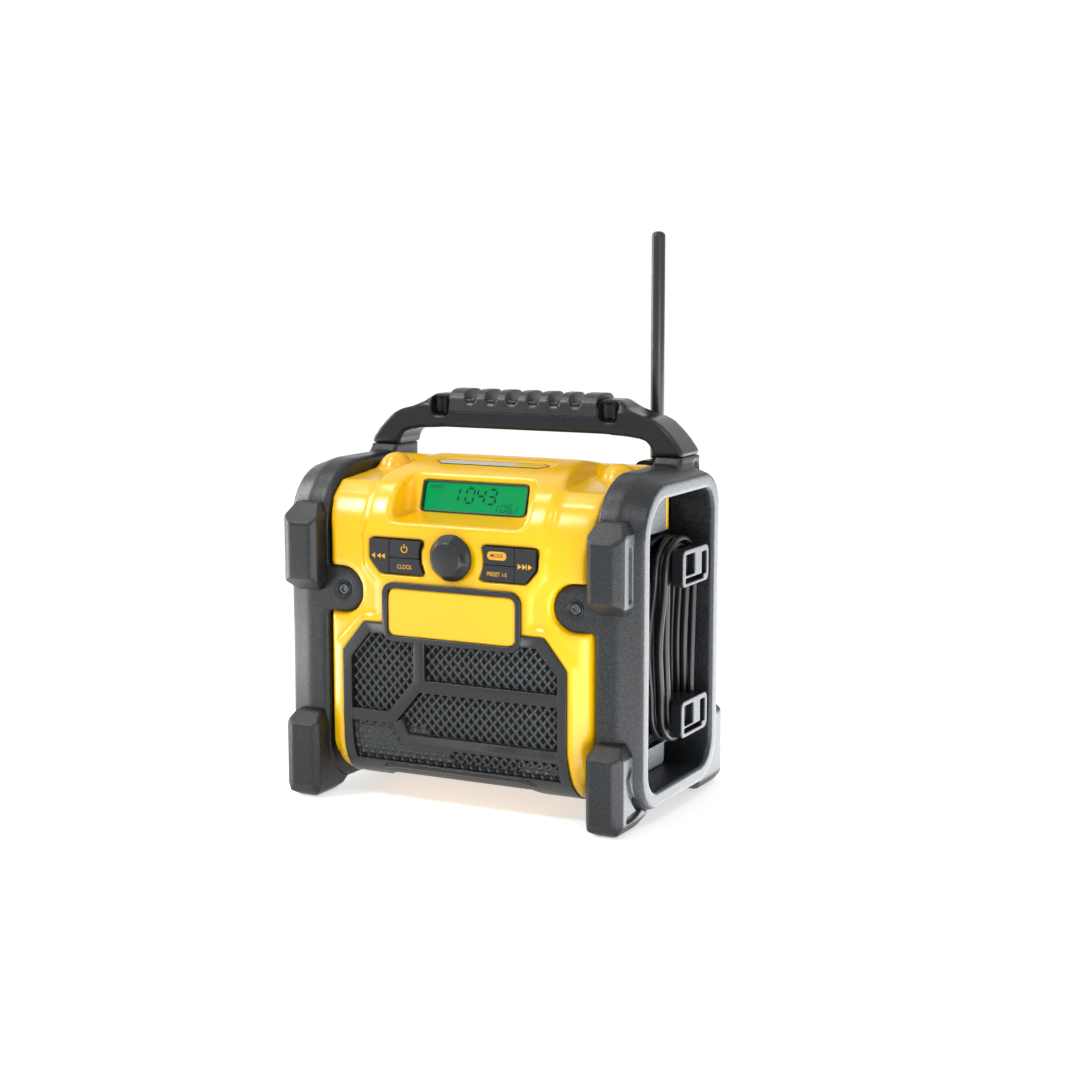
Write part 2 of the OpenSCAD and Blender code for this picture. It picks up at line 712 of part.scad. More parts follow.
module transformer() color("#8d8f92") {
    translate([26, -26, floor_z]) cube([46, 40, 34]);
    translate([33, -31, floor_z + 5]) cube([32, 50, 24]);
}

speaker_x = 39;
speaker_z = 77;
speaker_r = 34;
speaker_y = grille_y + grille_back + 2;   // the flanges seat on rings behind the grille
module speaker(s) color("#55585b") translate([s * speaker_x, speaker_y, speaker_z])
    rotate([-90, 0, 0]) rotate_extrude() polygon([[30, 0], [speaker_r, 0], [speaker_r, 2],
        [31, 2], [24, 14], [21, 16], [21, 28], [0, 28], [0, 15], [20, 15], [29, 2.6]]);
module speaker_left() speaker(-1);
module speaker_right() speaker(1);
module speaker_cones() color("#1e1f20") both_sides()
    translate([speaker_x, speaker_y, speaker_z]) rotate([-90, 0, 0]) rotate_extrude()
        polygon([[30, 0], [29.385, 1.6], [28.2, 2], [9, 12.6], [0, 10.6], [0, 9.4],
            [8.4, 11.2], [27.4, 1], [28.2, 0]]);

// ---------- side frames ----------

frame_corner = [30, 34, 30, 42];           // radii, from the low front corner backwards
band_edge = 2.6;                           // inner edge cut of the bar
// Section of the bar: x across the radio, r from the opening out to the rim.
bar_section = [[0, 0], [frame_t - 1, 0], [frame_t, 1], [frame_t, bar_w - bar_slope],
    [bar_w - 0.3, bar_w], [band_edge, bar_w], [0, bar_w - band_edge]];

// Corner of the bar round the point (y, z), from angle a to a + 90 in the (y, z) plane.
module bar_corner(y, z, r, a) translate([frame_in, y, z]) rotate([90, 0, 90])
    rotate(a) rotate_extrude(angle = 90)
        polygon([for (p = bar_section) [p[1] + r - bar_w, p[0]]]);
// Straight bar: starts at (y, z), runs length l in direction a, with its rim to the right.
module bar_run(y, z, l, a) translate([frame_in, y, z]) rotate([a, 0, 0])
    rotate([90, 0, 0]) linear_extrude(l) polygon(bar_section);

module frame_loop() {
    c = frame_corner;
    y0 = bar_front;
    y1 = bar_rear;
    z0 = frame_low;
    z1 = frame_top;
    bar_corner(y0 + c[0], z0 + c[0], c[0], 180);
    bar_corner(y1 - c[1], z0 + c[1], c[1], 270);
    bar_corner(y1 - c[2], z1 - c[2], c[2], 0);
    bar_corner(y0 + c[3], z1 - c[3], c[3], 90);
    bar_run(y1 - c[2], z1 - bar_w, y1 - y0 - c[2] - c[3], 0);
    bar_run(y0 + c[0], z0 + bar_w, y1 - y0 - c[0] - c[1], 180);
    bar_run(y0 + bar_w, z1 - c[3], z1 - z0 - c[0] - c[3], 90);
    bar_run(y1 - bar_w, z0 + c[1], z1 - z0 - c[1] - c[2], 270);
}
// Riser on the frame's top that the handle's foot is screwed to.
seat_z = frame_top + 4.7;
seat_x = [frame_in + 0.5, frame_in + 20.5];
seat_y = [handle_y - handle_d / 2, handle_y + handle_d / 2];
rear_tab_z = 178;

module side_frame() color(black) difference() {
    union() {
        frame_loop();
        along_x(seat_x[0], seat_x[1]) polygon([[seat_y[0] - 9, frame_top - 8],
            [seat_y[1], frame_top - 12], [seat_y[1], seat_z], [seat_y[0], seat_z]]);
        along_y(tab_face, tab_face + tab_t) tab_outline(0);
        along_y(back_y, back_y + tab_t) {
            translate([tab_x, rear_tab_z]) circle(10);
            translate([tab_x, rear_tab_z - 10]) square([frame_in - tab_x + 1, 20]);
        }
    }
    translate([tab_x, 0, tab_z]) rotate([90, 0, 0]) cylinder(r = tab_hole_r, h = far);
    translate([tab_x, tab_face + 2, tab_z]) rotate([90, 0, 0]) cylinder(r = 5.2, h = 20);
    translate([tab_x, far / 2, rear_tab_z]) rotate([90, 0, 0]) cylinder(r = tab_hole_r, h = far / 2);
    // screw wells under the handle's feet
    for (d = [-8, 8]) translate([(seat_x[0] + seat_x[1]) / 2, handle_y + d, frame_top - bar_w])
        cylinder(r = 2.2, h = 60);
    for (d = [-8, 8]) translate([(seat_x[0] + seat_x[1]) / 2, handle_y + d,
        frame_top - bar_w - eps]) cylinder(r = 4.4, h = 8);
    translate([seat_x[1] - 3, handle_y + 9, seat_z - 8]) rotate([0, 90, 0])
        cylinder(r = 4.2, h = 20);
}
module left_frame() mirror([1, 0, 0]) side_frame();
module right_frame() side_frame();

// ---------- bumpers ----------

bumper_x0 = frame_in + 0.5;
bumper_x1 = bumper_x0 + bumper_w;
edge = cage_d / 2;                        // face of the bumpers
module bumper_plan(depth) polygon([[bumper_x0, -edge + depth], [bumper_x0, -edge + 4],
    [bumper_x0 + 4, -edge], [bumper_x1 - 6.5, -edge], [bumper_x1, -edge + 4],
    [bumper_x1, -edge + depth]]);
module bumper_prism(depth) translate([0, 0, -1]) linear_extrude(far) bumper_plan(depth);
groove_w = 4;
module groove(p) for (i = [0:len(p) - 2]) let (a = p[i], b = p[i + 1])
    translate(a) rotate(atan2(b[1] - a[1], b[0] - a[0])) {
        translate([0, -groove_w / 2]) square([norm(b - a), groove_w]);
        circle(groove_w / 2);
        translate([norm(b - a), 0]) circle(groove_w / 2);
    }

module high_bumper() color(black) difference() {
    intersection() {
        z0 = high_bumper_z;
        z1 = z0 + high_bumper_h;
        along_x(0, far) polygon([[-edge + 24, z0 - 1], [-edge + 13, z0], [-edge, z0 + 9.5],
            [-edge, z1 - 12.5], [-edge + 12.5, z1], [-edge + 24, z1 + 1]]);
        bumper_prism(23);
        along_y(-far, far) polygon([[bumper_x0 + bumper_cut, z0 - 2], [bumper_x0, z0 + 6],
            [bumper_x0, z1 - 8], [bumper_x0 + bumper_cut, z1 + 2],
            [bumper_x1 - bumper_cut, z1 + 2], [bumper_x1, z1 - 8], [bumper_x1, z0 + 6],
            [bumper_x1 - bumper_cut, z0 - 2]]);
    }
    frame_solid();
    along_x(bumper_x1 - 2.4, far) groove([[-edge + 13.5, high_bumper_z + 11],
        [-edge + 13.5, high_bumper_z + high_bumper_h - 17]]);
}
// The frame without its openings, which the bumpers wrap.
module frame_solid() {
    frame_loop();
    along_x(frame_in, half_w) round_rect(bar_front + bar_w - 2, bar_rear - bar_w + 2,
        frame_low + bar_w - 2, frame_top - bar_w + 2,
        [for (r = frame_corner) r - bar_w + 2]);
    along_y(tab_face, tab_face + tab_t) tab_outline(0);
}

module low_bumper() color(black) difference() {
    intersection() {
        z1 = low_bumper_h;
        along_x(0, far) polygon([[-edge + 8, 0], [-edge + 30, 0], [-edge + 42, frame_low + 3],
            [-edge + 40, z1 - 6], [-edge + 24, z1 + 10], [-edge + 10, z1 + 8], [-edge, z1],
            [-edge, 9], [-edge + 2.5, 3]]);
        bumper_prism(45);
        along_y(-far, far) polygon([[bumper_x0 + 6, 0], [bumper_x0 + 1, 4], [bumper_x0, 10],
            [bumper_x0, z1], [bumper_x0 + bumper_cut, z1 + 11],
            [bumper_x1 - bumper_cut, z1 + 11], [bumper_x1, z1], [bumper_x1, 8],
            [bumper_x1 - 4, 2], [bumper_x1 - 8, 0]]);
    }
    frame_solid();
    along_x(bumper_x1 - 2.4, far) groove([[-edge + 15.5, low_bumper_h - 7],
        [-edge + 11.5, low_bumper_h - 13], [-edge + 15, low_bumper_h - 22],
        [-edge + 24, low_bumper_h - 32], [-edge + 30, low_bumper_h - 35.5],
        [-edge + 23, low_bumper_h - 38], [-edge + 11.5, low_bumper_h - 39]]);
}
module rear_bumper() color(black) difference() {
    intersection() {
        z1 = low_bumper_h;
        along_x(0, far) polygon([[edge - 8, 0], [edge, 9], [edge, z1], [edge - 10, z1 + 8],
            [edge - 24, z1 + 10], [edge - 42, z1 - 6], [edge - 46, frame_low + 3],
            [edge - 32, 0]]);
        mirror([0, 1, 0]) bumper_prism(50);
        along_y(-far, far) polygon([[bumper_x0 + 6, 0], [bumper_x0 + 1, 4], [bumper_x0, 10],
            [bumper_x0, z1], [bumper_x0 + bumper_cut, z1 + 11],
            [bumper_x1 - bumper_cut, z1 + 11], [bumper_x1, z1], [bumper_x1, 8],
            [bumper_x1 - 4, 2], [bumper_x1 - 8, 0]]);
    }
    frame_solid();
}
module left_front_upper_bumper() mirror([1, 0, 0]) high_bumper();
module left_front_lower_bumper() mirror([1, 0, 0]) low_bumper();
module left_rear_bumper() mirror([1, 0, 0]) rear_bumper();
module right_front_upper_bumper() high_bumper();
module right_front_lower_bumper() low_bumper();
module right_rear_bumper() rear_bumper();

// ---------- handle ----------

grip_z = handle_top - 6.5;                // top of the bar under the grip
under_z = grip_z - handle_t;              // underside of the bar
foot_in = seat_x[0] - 2;
foot_out = seat_x[1];
// Front view of the handle's outside and inside, right half, from the foot up.
outer_half = smooth([[foot_out, seat_z], [foot_out - 1, seat_z + 4],
    [foot_out - 7, seat_z + 12], [foot_out - 14.5, seat_z + 19.5],
    [foot_out - 22, seat_z + 24.5], [foot_out - 33, seat_z + 27.5],
    [foot_out - 41, grip_z - 2.5]], 3);
inner_half = smooth([[foot_out - 60, under_z], [foot_in - 20, under_z - 1],
    [foot_in - 6, under_z - 3], [foot_in - 1, under_z - 8], [foot_in, seat_z]], 3);
module handle_front() polygon(concat(outer_half, [[grip_l / 2 + 15, grip_z + 2.5],
    [grip_l / 2 + 13, grip_z + 3], [-grip_l / 2 - 13, grip_z + 3],
    [-grip_l / 2 - 15, grip_z + 2.5]], flip(outer_half), flip(inner_half), inner_half));
module handle_side() polygon([[seat_y[0], 0], [seat_y[0], grip_z - 5],
    [seat_y[0] + 6, grip_z + 3], [seat_y[1] - 6, grip_z + 3], [seat_y[1], grip_z - 5],
    [seat_y[1], 0]]);
grip_wrap = 1.4;                          // thickness of the grip over the bar's sides
module handle() color(black) difference() {
    intersection() {
        along_y(seat_y[0], seat_y[1]) handle_front();
        along_x(-far, far) handle_side();
    }
    grip_space();
    // pockets at the ends of the grip
    both_sides() translate([grip_l / 2 + 2, seat_y[0] - 1, grip_z - 11])
        cube([12, 9, 12.5]);
    both_sides() for (d = [-8, 8])
        translate([(seat_x[0] + seat_x[1]) / 2, handle_y + d, seat_z - 1])
            cylinder(r = 1.8, h = 9);
}
// The room the grip takes out of the bar.
module grip_space() {
    translate([-grip_l / 2, seat_y[0] - 1, grip_z]) cube([grip_l, handle_d + 2, 10]);
    for (s = [0, 1]) translate([-grip_l / 2, s == 0 ? seat_y[0] - 1 : seat_y[1] - grip_wrap,
        grip_z - 8.5]) cube([grip_l, grip_wrap + 1, 12]);
}
rib_pitch = grip_l / grip_ribs;
rib_r = rib_pitch / 2 + 1.2;
module handle_grip() color("#26282a") intersection() {
    union() {
        for (i = [0:grip_ribs - 1]) along_y(seat_y[0], seat_y[1])
            translate([-grip_l / 2 + rib_pitch * (i + 0.5), handle_top - rib_r]) circle(rib_r);
        translate([-grip_l / 2, seat_y[0], grip_z - 8.5]) cube([grip_l, handle_d, 11]);
    }
    grip_space();
    along_x(-grip_l / 2, grip_l / 2) polygon([[seat_y[0], 0], [seat_y[0], grip_z + 1],
        [seat_y[0] + 6, handle_top], [seat_y[1] - 6, handle_top], [seat_y[1], grip_z + 1],
        [seat_y[1], 0]]);
}
module handle_screws() color("silver") both_sides() for (d = [-8, 8])
    translate([(seat_x[0] + seat_x[1]) / 2, handle_y + d, frame_top - bar_w + 4]) {
        cylinder(r = 1.7, h = seat_z - frame_top + bar_w - 4 + 7);
        cylinder(r = 3.8, h = 4 - 2 * eps);
    }
module tab_screws() color("silver") {
    both_sides() translate([tab_x, tab_face + 2 + 14, tab_z]) rotate([90, 0, 0]) {
        cylinder(r = 1.5, h = 15);
        translate([0, 0, 14]) cylinder(r = 3.8, h = 1.6);
    }
    both_sides() translate([tab_x, back_y + tab_t + 1.8, rear_tab_z]) rotate([90, 0, 0]) {
        cylinder(r = 3.8, h = 1.8);
        cylinder(r = 1.5, h = 15);
    }
}
module cover_screws() color("silver") both_sides() for (p = cover_screw_at)
    translate([p[0], back_y - 0.2, p[1]]) rotate([90, 0, 0]) {
        cylinder(r = 3, h = 1.8 - eps);
        cylinder(r = cover_screw_r, h = back_y - cover_boss_y + 12);
    }

// ---------- side panels, cleats and lead ----------

panel_face = frame_in + 6;
panel_front = bar_front + bar_w + 0.3;
panel_rear = 29.5;
panel_low = frame_low + bar_w + 0.5;
panel_top = frame_top - bar_w - 0.5;
panel_floor = frame_in + 1.6;
pocket_z = [37.6, 181];
pocket_front = panel_front + 4;
lead_y = bar_rear - bar_w - cleat_w / 2 - 5;   // middle of the winding
lead_z = [65, 155];                       // centres of its round ends
cleat_y = lead_y - cleat_w / 2;
cleat_stem_r = 15.5;
cleat_back = half_w - 1 - cleat_t;
turn_r = cleat_stem_r + 0.3 + lead_d / 2; // radius of the inner layer's centre line
inlet_x = panel_floor + 5;
relief_y = [pocket_front, pocket_front + 28];
plug_w = 25;
plug_t = 13.6;
plug_y = pocket_front + plug_w / 2 + 1;
plug_z = [100, 132];
plug_x = panel_floor + fit + plug_t / 2;
blade_gap = 12.7;
blade = [1.5, 6.3, 17];

module panel_outline() {
    c = [for (r = frame_corner) r - bar_w];
    round_rect(panel_front, panel_rear, panel_low, panel_top, [c[0], 4, 4, c[3]]);
}
module side_panel(cord) color(black) {
    difference() {
        along_x(frame_in, panel_face) panel_outline();
        along_x(panel_floor, far) translate([pocket_front, pocket_z[0]])
            square([far, pocket_z[1] - pocket_z[0]]);
    }
    if (cord) {
        along_x(frame_in, panel_floor) translate([panel_rear - 1, pocket_z[0]])
            square([bar_rear - bar_w - panel_rear + 0.5, pocket_z[1] - pocket_z[0]]);
        // park for the plug's blades
        difference() {
            translate([panel_floor - eps, plug_y - plug_w / 2, plug_z[0] - 14])
                cube([plug_t, plug_w, 14]);
            blades(0.4);
        }
    }
}
module right_side_panel() side_panel(true);
aux_y = -16;
aux_z = 194;
jack_r = 4.2;
module left_side_panel() color(black) mirror([1, 0, 0]) difference() {
    side_panel(false);
    translate([0, aux_y, aux_z]) rotate([0, 90, 0]) cylinder(r = jack_r + fit, h = far);
}

// A cleat: a round-ended stem with a wide lip, square hole and two grooves in its face.
module cleat(z, up) {
    z0 = z + (up ? 5 : -5);               // middle of the lip
    difference() {
        union() {
            intersection() {
                translate([panel_floor, lead_y, z]) rotate([0, 90, 0])
                    cylinder(r = cleat_stem_r, h = cleat_back - panel_floor + 1);
                translate([0, -far / 2, z0 - cleat_h / 2 + 1]) cube([far, far, cleat_h - 2]);
            }
            along_x(cleat_back, cleat_back + cleat_t) round_rect(cleat_y, cleat_y + cleat_w,
                z0 - cleat_h / 2, z0 + cleat_h / 2, [4, 5, 5, 4]);
        }
        along_x(cleat_back + 1.6, far) {
            translate([cleat_y + 5, z0 - 4.5]) square([15, 13.4]);
            translate([cleat_y + cleat_w - 12, z0 - 7]) square([8, 15]);
            translate([cleat_y + 5, z0 - 9.6]) square([30, 3.2]);
        }
    }
}
module upper_cleat() color(black) cleat(lead_z[1], true);
module lower_cleat() color(black) cleat(lead_z[0], false);

module strain_relief() color(black) translate([inlet_x, relief_y[0], lead_z[0] - turn_r])
    rotate([-90, 0, 0]) difference() {
        cylinder(r1 = 4.6, r2 = 3.2, h = relief_y[1] - relief_y[0]);
        for (i = [1:5]) translate([0, 0, 3 + i * 4]) difference() {
            cylinder(r = 6, h = 1.4);
            cylinder(r = 2.9, h = 1.4);
        }
    }

// Sweeps a tube of radius r along points p, as one closed polyhedron.
sides = 10;
function unit(v) = v / norm(v);
function heading(p, i) = unit(p[min(i + 1, len(p) - 1)] - p[max(i - 1, 0)]);
function ring(c, t, r) = let (u = unit(cross(t, [0.31, 0.2, 0.93])), v = cross(t, u))
    [for (k = [0:sides - 1]) c + r * (cos(k * 360 / sides) * u + sin(k * 360 / sides) * v)];
module tube(p, r) {
    n = len(p);
    points = [for (i = [0:n - 1]) each ring(p[i], heading(p, i), r)];
    walls = [for (i = [0:n - 2], k = [0:sides - 1]) let (a = i * sides + k,
        b = i * sides + (k + 1) % sides) each [[a, b + sides, b], [a, a + sides, b + sides]]];
    caps = [[for (k = [0:sides - 1]) k], [for (k = [sides - 1:-1:0]) (n - 1) * sides + k]];
    polyhedron(points, concat(walls, caps));
}
// Each route's points: distance outside the panel's floor, share of the way to the
// winding's middle, and height over the winding's lower centre.
function route(from, p) = [for (q = p) [panel_floor + q[0], from + q[1] * (lead_y - from),
    lead_z[0] + q[2]]];
inlet_route = route(relief_y[1], [[5, -0.01, -18], [5, 0.18, -18], [4.8, 0.38, -18],
    [4.4, 0.61, -18.5]]);
tail_route = route(plug_y, [[3.8, 0.933, 112.2], [3.8, 0.656, 109.8], [4.2, 0.397, 107.6],
    [4.9, 0.218, 103.5], [5.9, 0.088, 96.1], [6.8, 0.014, 86.5], [7.1, 0, 77]]);
module lead_inlet() color("#1b1c1d") tube(smooth(inlet_route, 1), lead_d / 2);
module lead_tail() color("#1b1c1d") tube(smooth(tail_route, 2), lead_d / 2);

// The turns wound round both cleats, as one closed loop.
winding_x = [panel_floor + 0.4, cleat_back - 0.3];
module race(r) {
    for (z = lead_z) translate([lead_y, z]) circle(r);
    translate([lead_y - r, lead_z[0]]) square([2 * r, lead_z[1] - lead_z[0]]);
}
winding_r = cleat_stem_r + 0.3 + 2 * lead_d + 0.4;
bow_r = 150;                              // curve of the turns' slack front side
bow = 0.44 * (lead_y - winding_r - plug_y - plug_w / 2);   // how far they hang forward
module lead_winding() color("#1b1c1d") along_x(winding_x[0], winding_x[1]) difference() {
    union() {
        race(winding_r);
        intersection() {
            translate([lead_y - winding_r - bow + bow_r, (lead_z[0] + lead_z[1]) / 2])
                circle(bow_r, $fn = 128);
            translate([lead_y - winding_r - bow, lead_z[0] - 10])
                square([bow + 4, lead_z[1] - lead_z[0] + 20]);
        }
    }
    race(cleat_stem_r + 0.3);
}

module blades(c) for (d = [-1, 1]) translate([plug_x - blade[1] / 2 - c,
    plug_y + d * blade_gap / 2 - blade[0] / 2 - c, plug_z[0] - blade[2]])
        cube([blade[1] + 2 * c, blade[0] + 2 * c, blade[2] + 6]);
module plug() color("#1b1c1d") {
    w = plug_w / 2;
    along_x(plug_x - plug_t / 2, plug_x + plug_t / 2) polygon([
        [plug_y - w + 3, plug_z[0]], [plug_y + w - 3, plug_z[0]], [plug_y + w, plug_z[0] + 3],
        [plug_y + w, plug_z[0] + 16], [plug_y + 6.5, plug_z[1]], [plug_y - 6.5, plug_z[1]],
        [plug_y - w, plug_z[0] + 16], [plug_y - w, plug_z[0] + 3]]);
    blades(0);
    translate([plug_x, plug_y, plug_z[1] - 1]) cylinder(r1 = 5, r2 = 3.2, h = 13);
}

// ---------- auxiliary socket ----------

aux_depth = 14;
module aux_jack() color("#3a3f45") mirror([1, 0, 0]) translate([panel_face - aux_depth,
    aux_y, aux_z]) rotate([0, 90, 0]) difference() {
        union() {
            cylinder(r = jack_r, h = aux_depth);
            translate([-6, -6, 0]) cube([12, 12, aux_depth - wall - panel_face + frame_in]);
        }
        translate([0, 0, 1]) cylinder(r = 1.8, h = aux_depth);
    }

// ---------- antenna ----------

pivot_z = body_top - 12;
base_t = 4;
mast_y = back_y + base_t + fit + mast_d / 2;
eye_r = 6.4;
neck_r = mast_d / 2 - 1.4;
pin_r = 2.5;
module antenna_base() color(black) difference() {
    along_y(back_y - 8, back_y + base_t) round_rect(mast_x - 10, mast_x + 10,
        pivot_z - 12, pivot_z + 8, [3, 3, 8, 8]);
    rear_block();
    translate([mast_x, far / 2, pivot_z]) rotate([90, 0, 0]) cylinder(r = pin_r, h = far / 2);
}
module antenna_pin() color("silver") translate([mast_x, mast_y + mast_d / 2 + fit + 1.6,
    pivot_z]) rotate([90, 0, 0]) {
        cylinder(r = pin_r, h = 2 * fit + 1.6 + mast_d + base_t + 2);
        cylinder(r = 4.6, h = 1.6);
    }
module antenna_knuckle() color(black) difference() {
    union() {
        translate([mast_x, mast_y + mast_d / 2, pivot_z]) rotate([90, 0, 0])
            cylinder(r = eye_r, h = mast_d);
        translate([mast_x, mast_y, pivot_z + 2]) cylinder(r = neck_r, h = 14);
    }
    translate([mast_x, far / 2, pivot_z]) rotate([90, 0, 0])
        cylinder(r = pin_r + run, h = far / 2);
}
module antenna_mast() color("#1e1f20") difference() {
    translate([mast_x, mast_y, pivot_z + 8]) rotate_extrude() polygon([[0, 0],
        [mast_d / 2 - 0.4, 0], [mast_d / 2, 1], [mast_d / 2, mast_top - pivot_z - 11],
        [mast_d / 2 - 1.6, mast_top - pivot_z - 8], [0, mast_top - pivot_z - 8]]);
    translate([mast_x, mast_y, pivot_z - 5]) cylinder(r = neck_r, h = 21);
    translate([mast_x, mast_y + far / 2, pivot_z]) rotate([90, 0, 0])
        cylinder(r = eye_r + 0.4, h = far);
}

// ---------- compartment ----------

module battery_terminal() color("#3a3f45") {
    difference() {
        translate([-22, bay_front, bay_z + bay_h / 2 - 14]) cube([44, 7, 28]);
        for (i = [-1, 1]) translate([i * 14 - 1, bay_front - 1, bay_z + bay_h / 2 - 10])
            cube([2, 9, 20]);
    }
    for (i = [-1, 1]) translate([i * 14 - 0.5, bay_front, bay_z + bay_h / 2 - 9.5])
        cube([1, 12, 19]);
    for (i = [-1, 1]) translate([i * 14 - 1, bay_front, bay_z + bay_h / 2 - 10])
        cube([2, 1, 20]);
}
latch_w = 24;
latch_z = bay_z + bay_h - 14;
module bay_door() color(black) difference() {
    union() {
        translate([-bay_w / 2 + door_clear, back_y - door_t, bay_z + door_clear])
            cube([bay_w - 2 * door_clear, door_t, bay_h - 2 * door_clear]);
        translate([-door_half, hinge_y, hinge_z]) rotate([0, 90, 0])
            cylinder(r = barrel_r, h = 2 * door_half);
        translate([-door_half, back_y - door_t, hinge_z])
            cube([2 * door_half, door_t, bay_z - hinge_z + 1]);
        // stiffening ribs
        for (i = [0:3]) translate([-bay_w / 2 + 12, back_y - eps, bay_z + 14 + i * 18])
            cube([bay_w - 24, 1.2, 6]);
    }
    translate([-far / 2, hinge_y, hinge_z]) rotate([0, 90, 0])
        cylinder(r = pin_d / 2 + run, h = far);
    // the lower corners stay clear of the mouth as the door swings
    both_sides() translate([door_half, back_y - door_t - 1, bay_z - 1])
        cube([20, door_t + 2, barrel_r * 0.6 + 1]);
    // slide way of the latch
    translate([-latch_w / 2 - fit, back_y - door_t - 1, latch_z - fit])
        cube([latch_w + 2 * fit, door_t + 3, 20]);
}
module hinge_pin() color("silver") translate([-door_half - lug_w + 3, hinge_y, hinge_z])
    rotate([0, 90, 0]) cylinder(d = pin_d, h = 2 * door_half + 2 * lug_w - 6);
tongue_t = 2.4;
// The latch is drawn back from its keeper; its throw of 2.2 mm locks the door.
module door_latch() color("#26282a") {
    translate([-latch_w / 2, back_y - door_t - 3, latch_z]) {
        cube([latch_w, door_t + 3.2, bay_z + bay_h - latch_z - 3.6]);
        cube([latch_w, tongue_t, bay_z + bay_h - latch_z - door_clear]);
    }
    for (i = [0:2]) translate([-latch_w / 2 + 3, back_y, latch_z + 2 + i * 3.4])
        cube([latch_w - 6, 1.4, 1.4]);
}

front_shell();
rear_shell();
grille();
name_plate();
top_plate();
display_window();
display_module();
seek_down_key();
power_key();
clock_key();
mode_key();
preset_key();
seek_up_key();
knob();
encoder_shaft();
encoder_plunger();
encoder_body();
display_board();
main_board();
transformer();
speaker_left();
speaker_right();
speaker_cones();
left_frame();
right_frame();
left_front_upper_bumper();
left_front_lower_bumper();
left_rear_bumper();
right_front_upper_bumper();
right_front_lower_bumper();
right_rear_bumper();
handle();
handle_grip();
handle_screws();
tab_screws();
cover_screws();
left_side_panel();
right_side_panel();
upper_cleat();
lower_cleat();
strain_relief();
lead_inlet();
lead_winding();
lead_tail();
plug();
aux_jack();
antenna_base();
antenna_pin();
antenna_knuckle();
antenna_mast();
battery_terminal();
bay_door();
hinge_pin();
door_latch();
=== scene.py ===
# Jobsite radio in a bumpered cage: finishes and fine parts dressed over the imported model.
# Lengths are in metres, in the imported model's own frame; drawings, and names in _mm, are in mm.
from math import atan2, cos, pi, radians, sin

import bmesh
import bpy
from bmesh import ops
from mathutils import Matrix, Vector


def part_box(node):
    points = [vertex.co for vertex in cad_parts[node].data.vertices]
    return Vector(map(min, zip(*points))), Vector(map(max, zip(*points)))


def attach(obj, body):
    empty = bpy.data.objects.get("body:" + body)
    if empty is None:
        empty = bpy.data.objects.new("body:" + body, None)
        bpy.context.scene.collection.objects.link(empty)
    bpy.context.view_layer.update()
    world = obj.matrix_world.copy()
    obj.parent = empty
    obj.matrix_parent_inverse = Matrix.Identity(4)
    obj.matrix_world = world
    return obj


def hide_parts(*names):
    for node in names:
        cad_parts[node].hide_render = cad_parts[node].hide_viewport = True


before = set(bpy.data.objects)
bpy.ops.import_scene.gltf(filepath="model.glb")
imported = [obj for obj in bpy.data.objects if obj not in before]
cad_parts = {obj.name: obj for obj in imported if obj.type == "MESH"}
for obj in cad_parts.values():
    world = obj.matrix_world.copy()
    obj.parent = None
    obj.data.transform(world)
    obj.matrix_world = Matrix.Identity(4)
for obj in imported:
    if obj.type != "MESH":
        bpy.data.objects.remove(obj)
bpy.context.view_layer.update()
MM = 0.001


# ----------------------------
# Camera: a 68 mm view from the front right, a little above the handle.
# ----------------------------
def linked(name, data):
    """A new object in the scene that shows this data."""
    thing = bpy.data.objects.new(name, data)
    bpy.context.scene.collection.objects.link(thing)
    return thing


def aim(thing, place, target):
    """Sets a camera or a lamp at place and turns it to target."""
    thing.location = place
    thing.rotation_mode = "QUATERNION"
    thing.rotation_quaternion = (Vector(target) - Vector(place)).to_track_quat("-Z", "Y")


camera = linked("camera", bpy.data.cameras.new("camera"))
camera.data.lens, camera.data.sensor_width = 68.3, 36
aim(camera, (0.6373, -1.2099, 0.3677), (0, 0.05005, 0.165))
bpy.context.scene.camera = camera
bpy.context.scene.view_settings.view_transform = "Standard"


# ----------------------------
# Studio: a white sweep in white surroundings, soft lamps at the front right, upper left, above
# and at the left, and two light tables on the floor, which the radio's sides mirror.
# ----------------------------
def linear(hex_colour, times=1):
    """A hex sRGB colour as linear red, green, blue and alpha, so many times as bright."""
    parts = [int(hex_colour[i:i + 2], 16) / 255 for i in (1, 3, 5)]
    return [times * (p / 12.92 if p <= 0.04045 else ((p + 0.055) / 1.055) ** 2.4)
            for p in parts] + [1]


def wire(node, settings):
    """Sets a shader node's properties and sockets, by name or number; an output, or a node,
    which stands for its first output, is linked."""
    for key, value in settings.items():
        if isinstance(value, bpy.types.Node):
            value = value.outputs[0]
        if isinstance(value, bpy.types.NodeSocket):
            node.id_data.links.new(value, node.inputs[key])
        elif isinstance(key, int) or key in node.inputs:
            node.inputs[key].default_value = value
        else:
            setattr(node, key, value)
    return node


def add_node(tree, kind, settings=None):
    """Adds a shader node with these settings."""
    return wire(tree.nodes.new("ShaderNode" + kind), settings or {})


def maths(tree, operation, *values):
    """Adds a sum on these values."""
    return add_node(tree, "Math", {"operation": operation, **dict(enumerate(values))})


def seen(tree):
    """1 where a surface is looked at, also mirrored or through glass, 0 where it gives light."""
    ray = add_node(tree, "LightPath").outputs
    mirrored = maths(tree, "MAXIMUM", ray["Is Glossy Ray"], ray["Is Transmission Ray"])
    return maths(tree, "MAXIMUM", ray["Is Camera Ray"], mirrored)


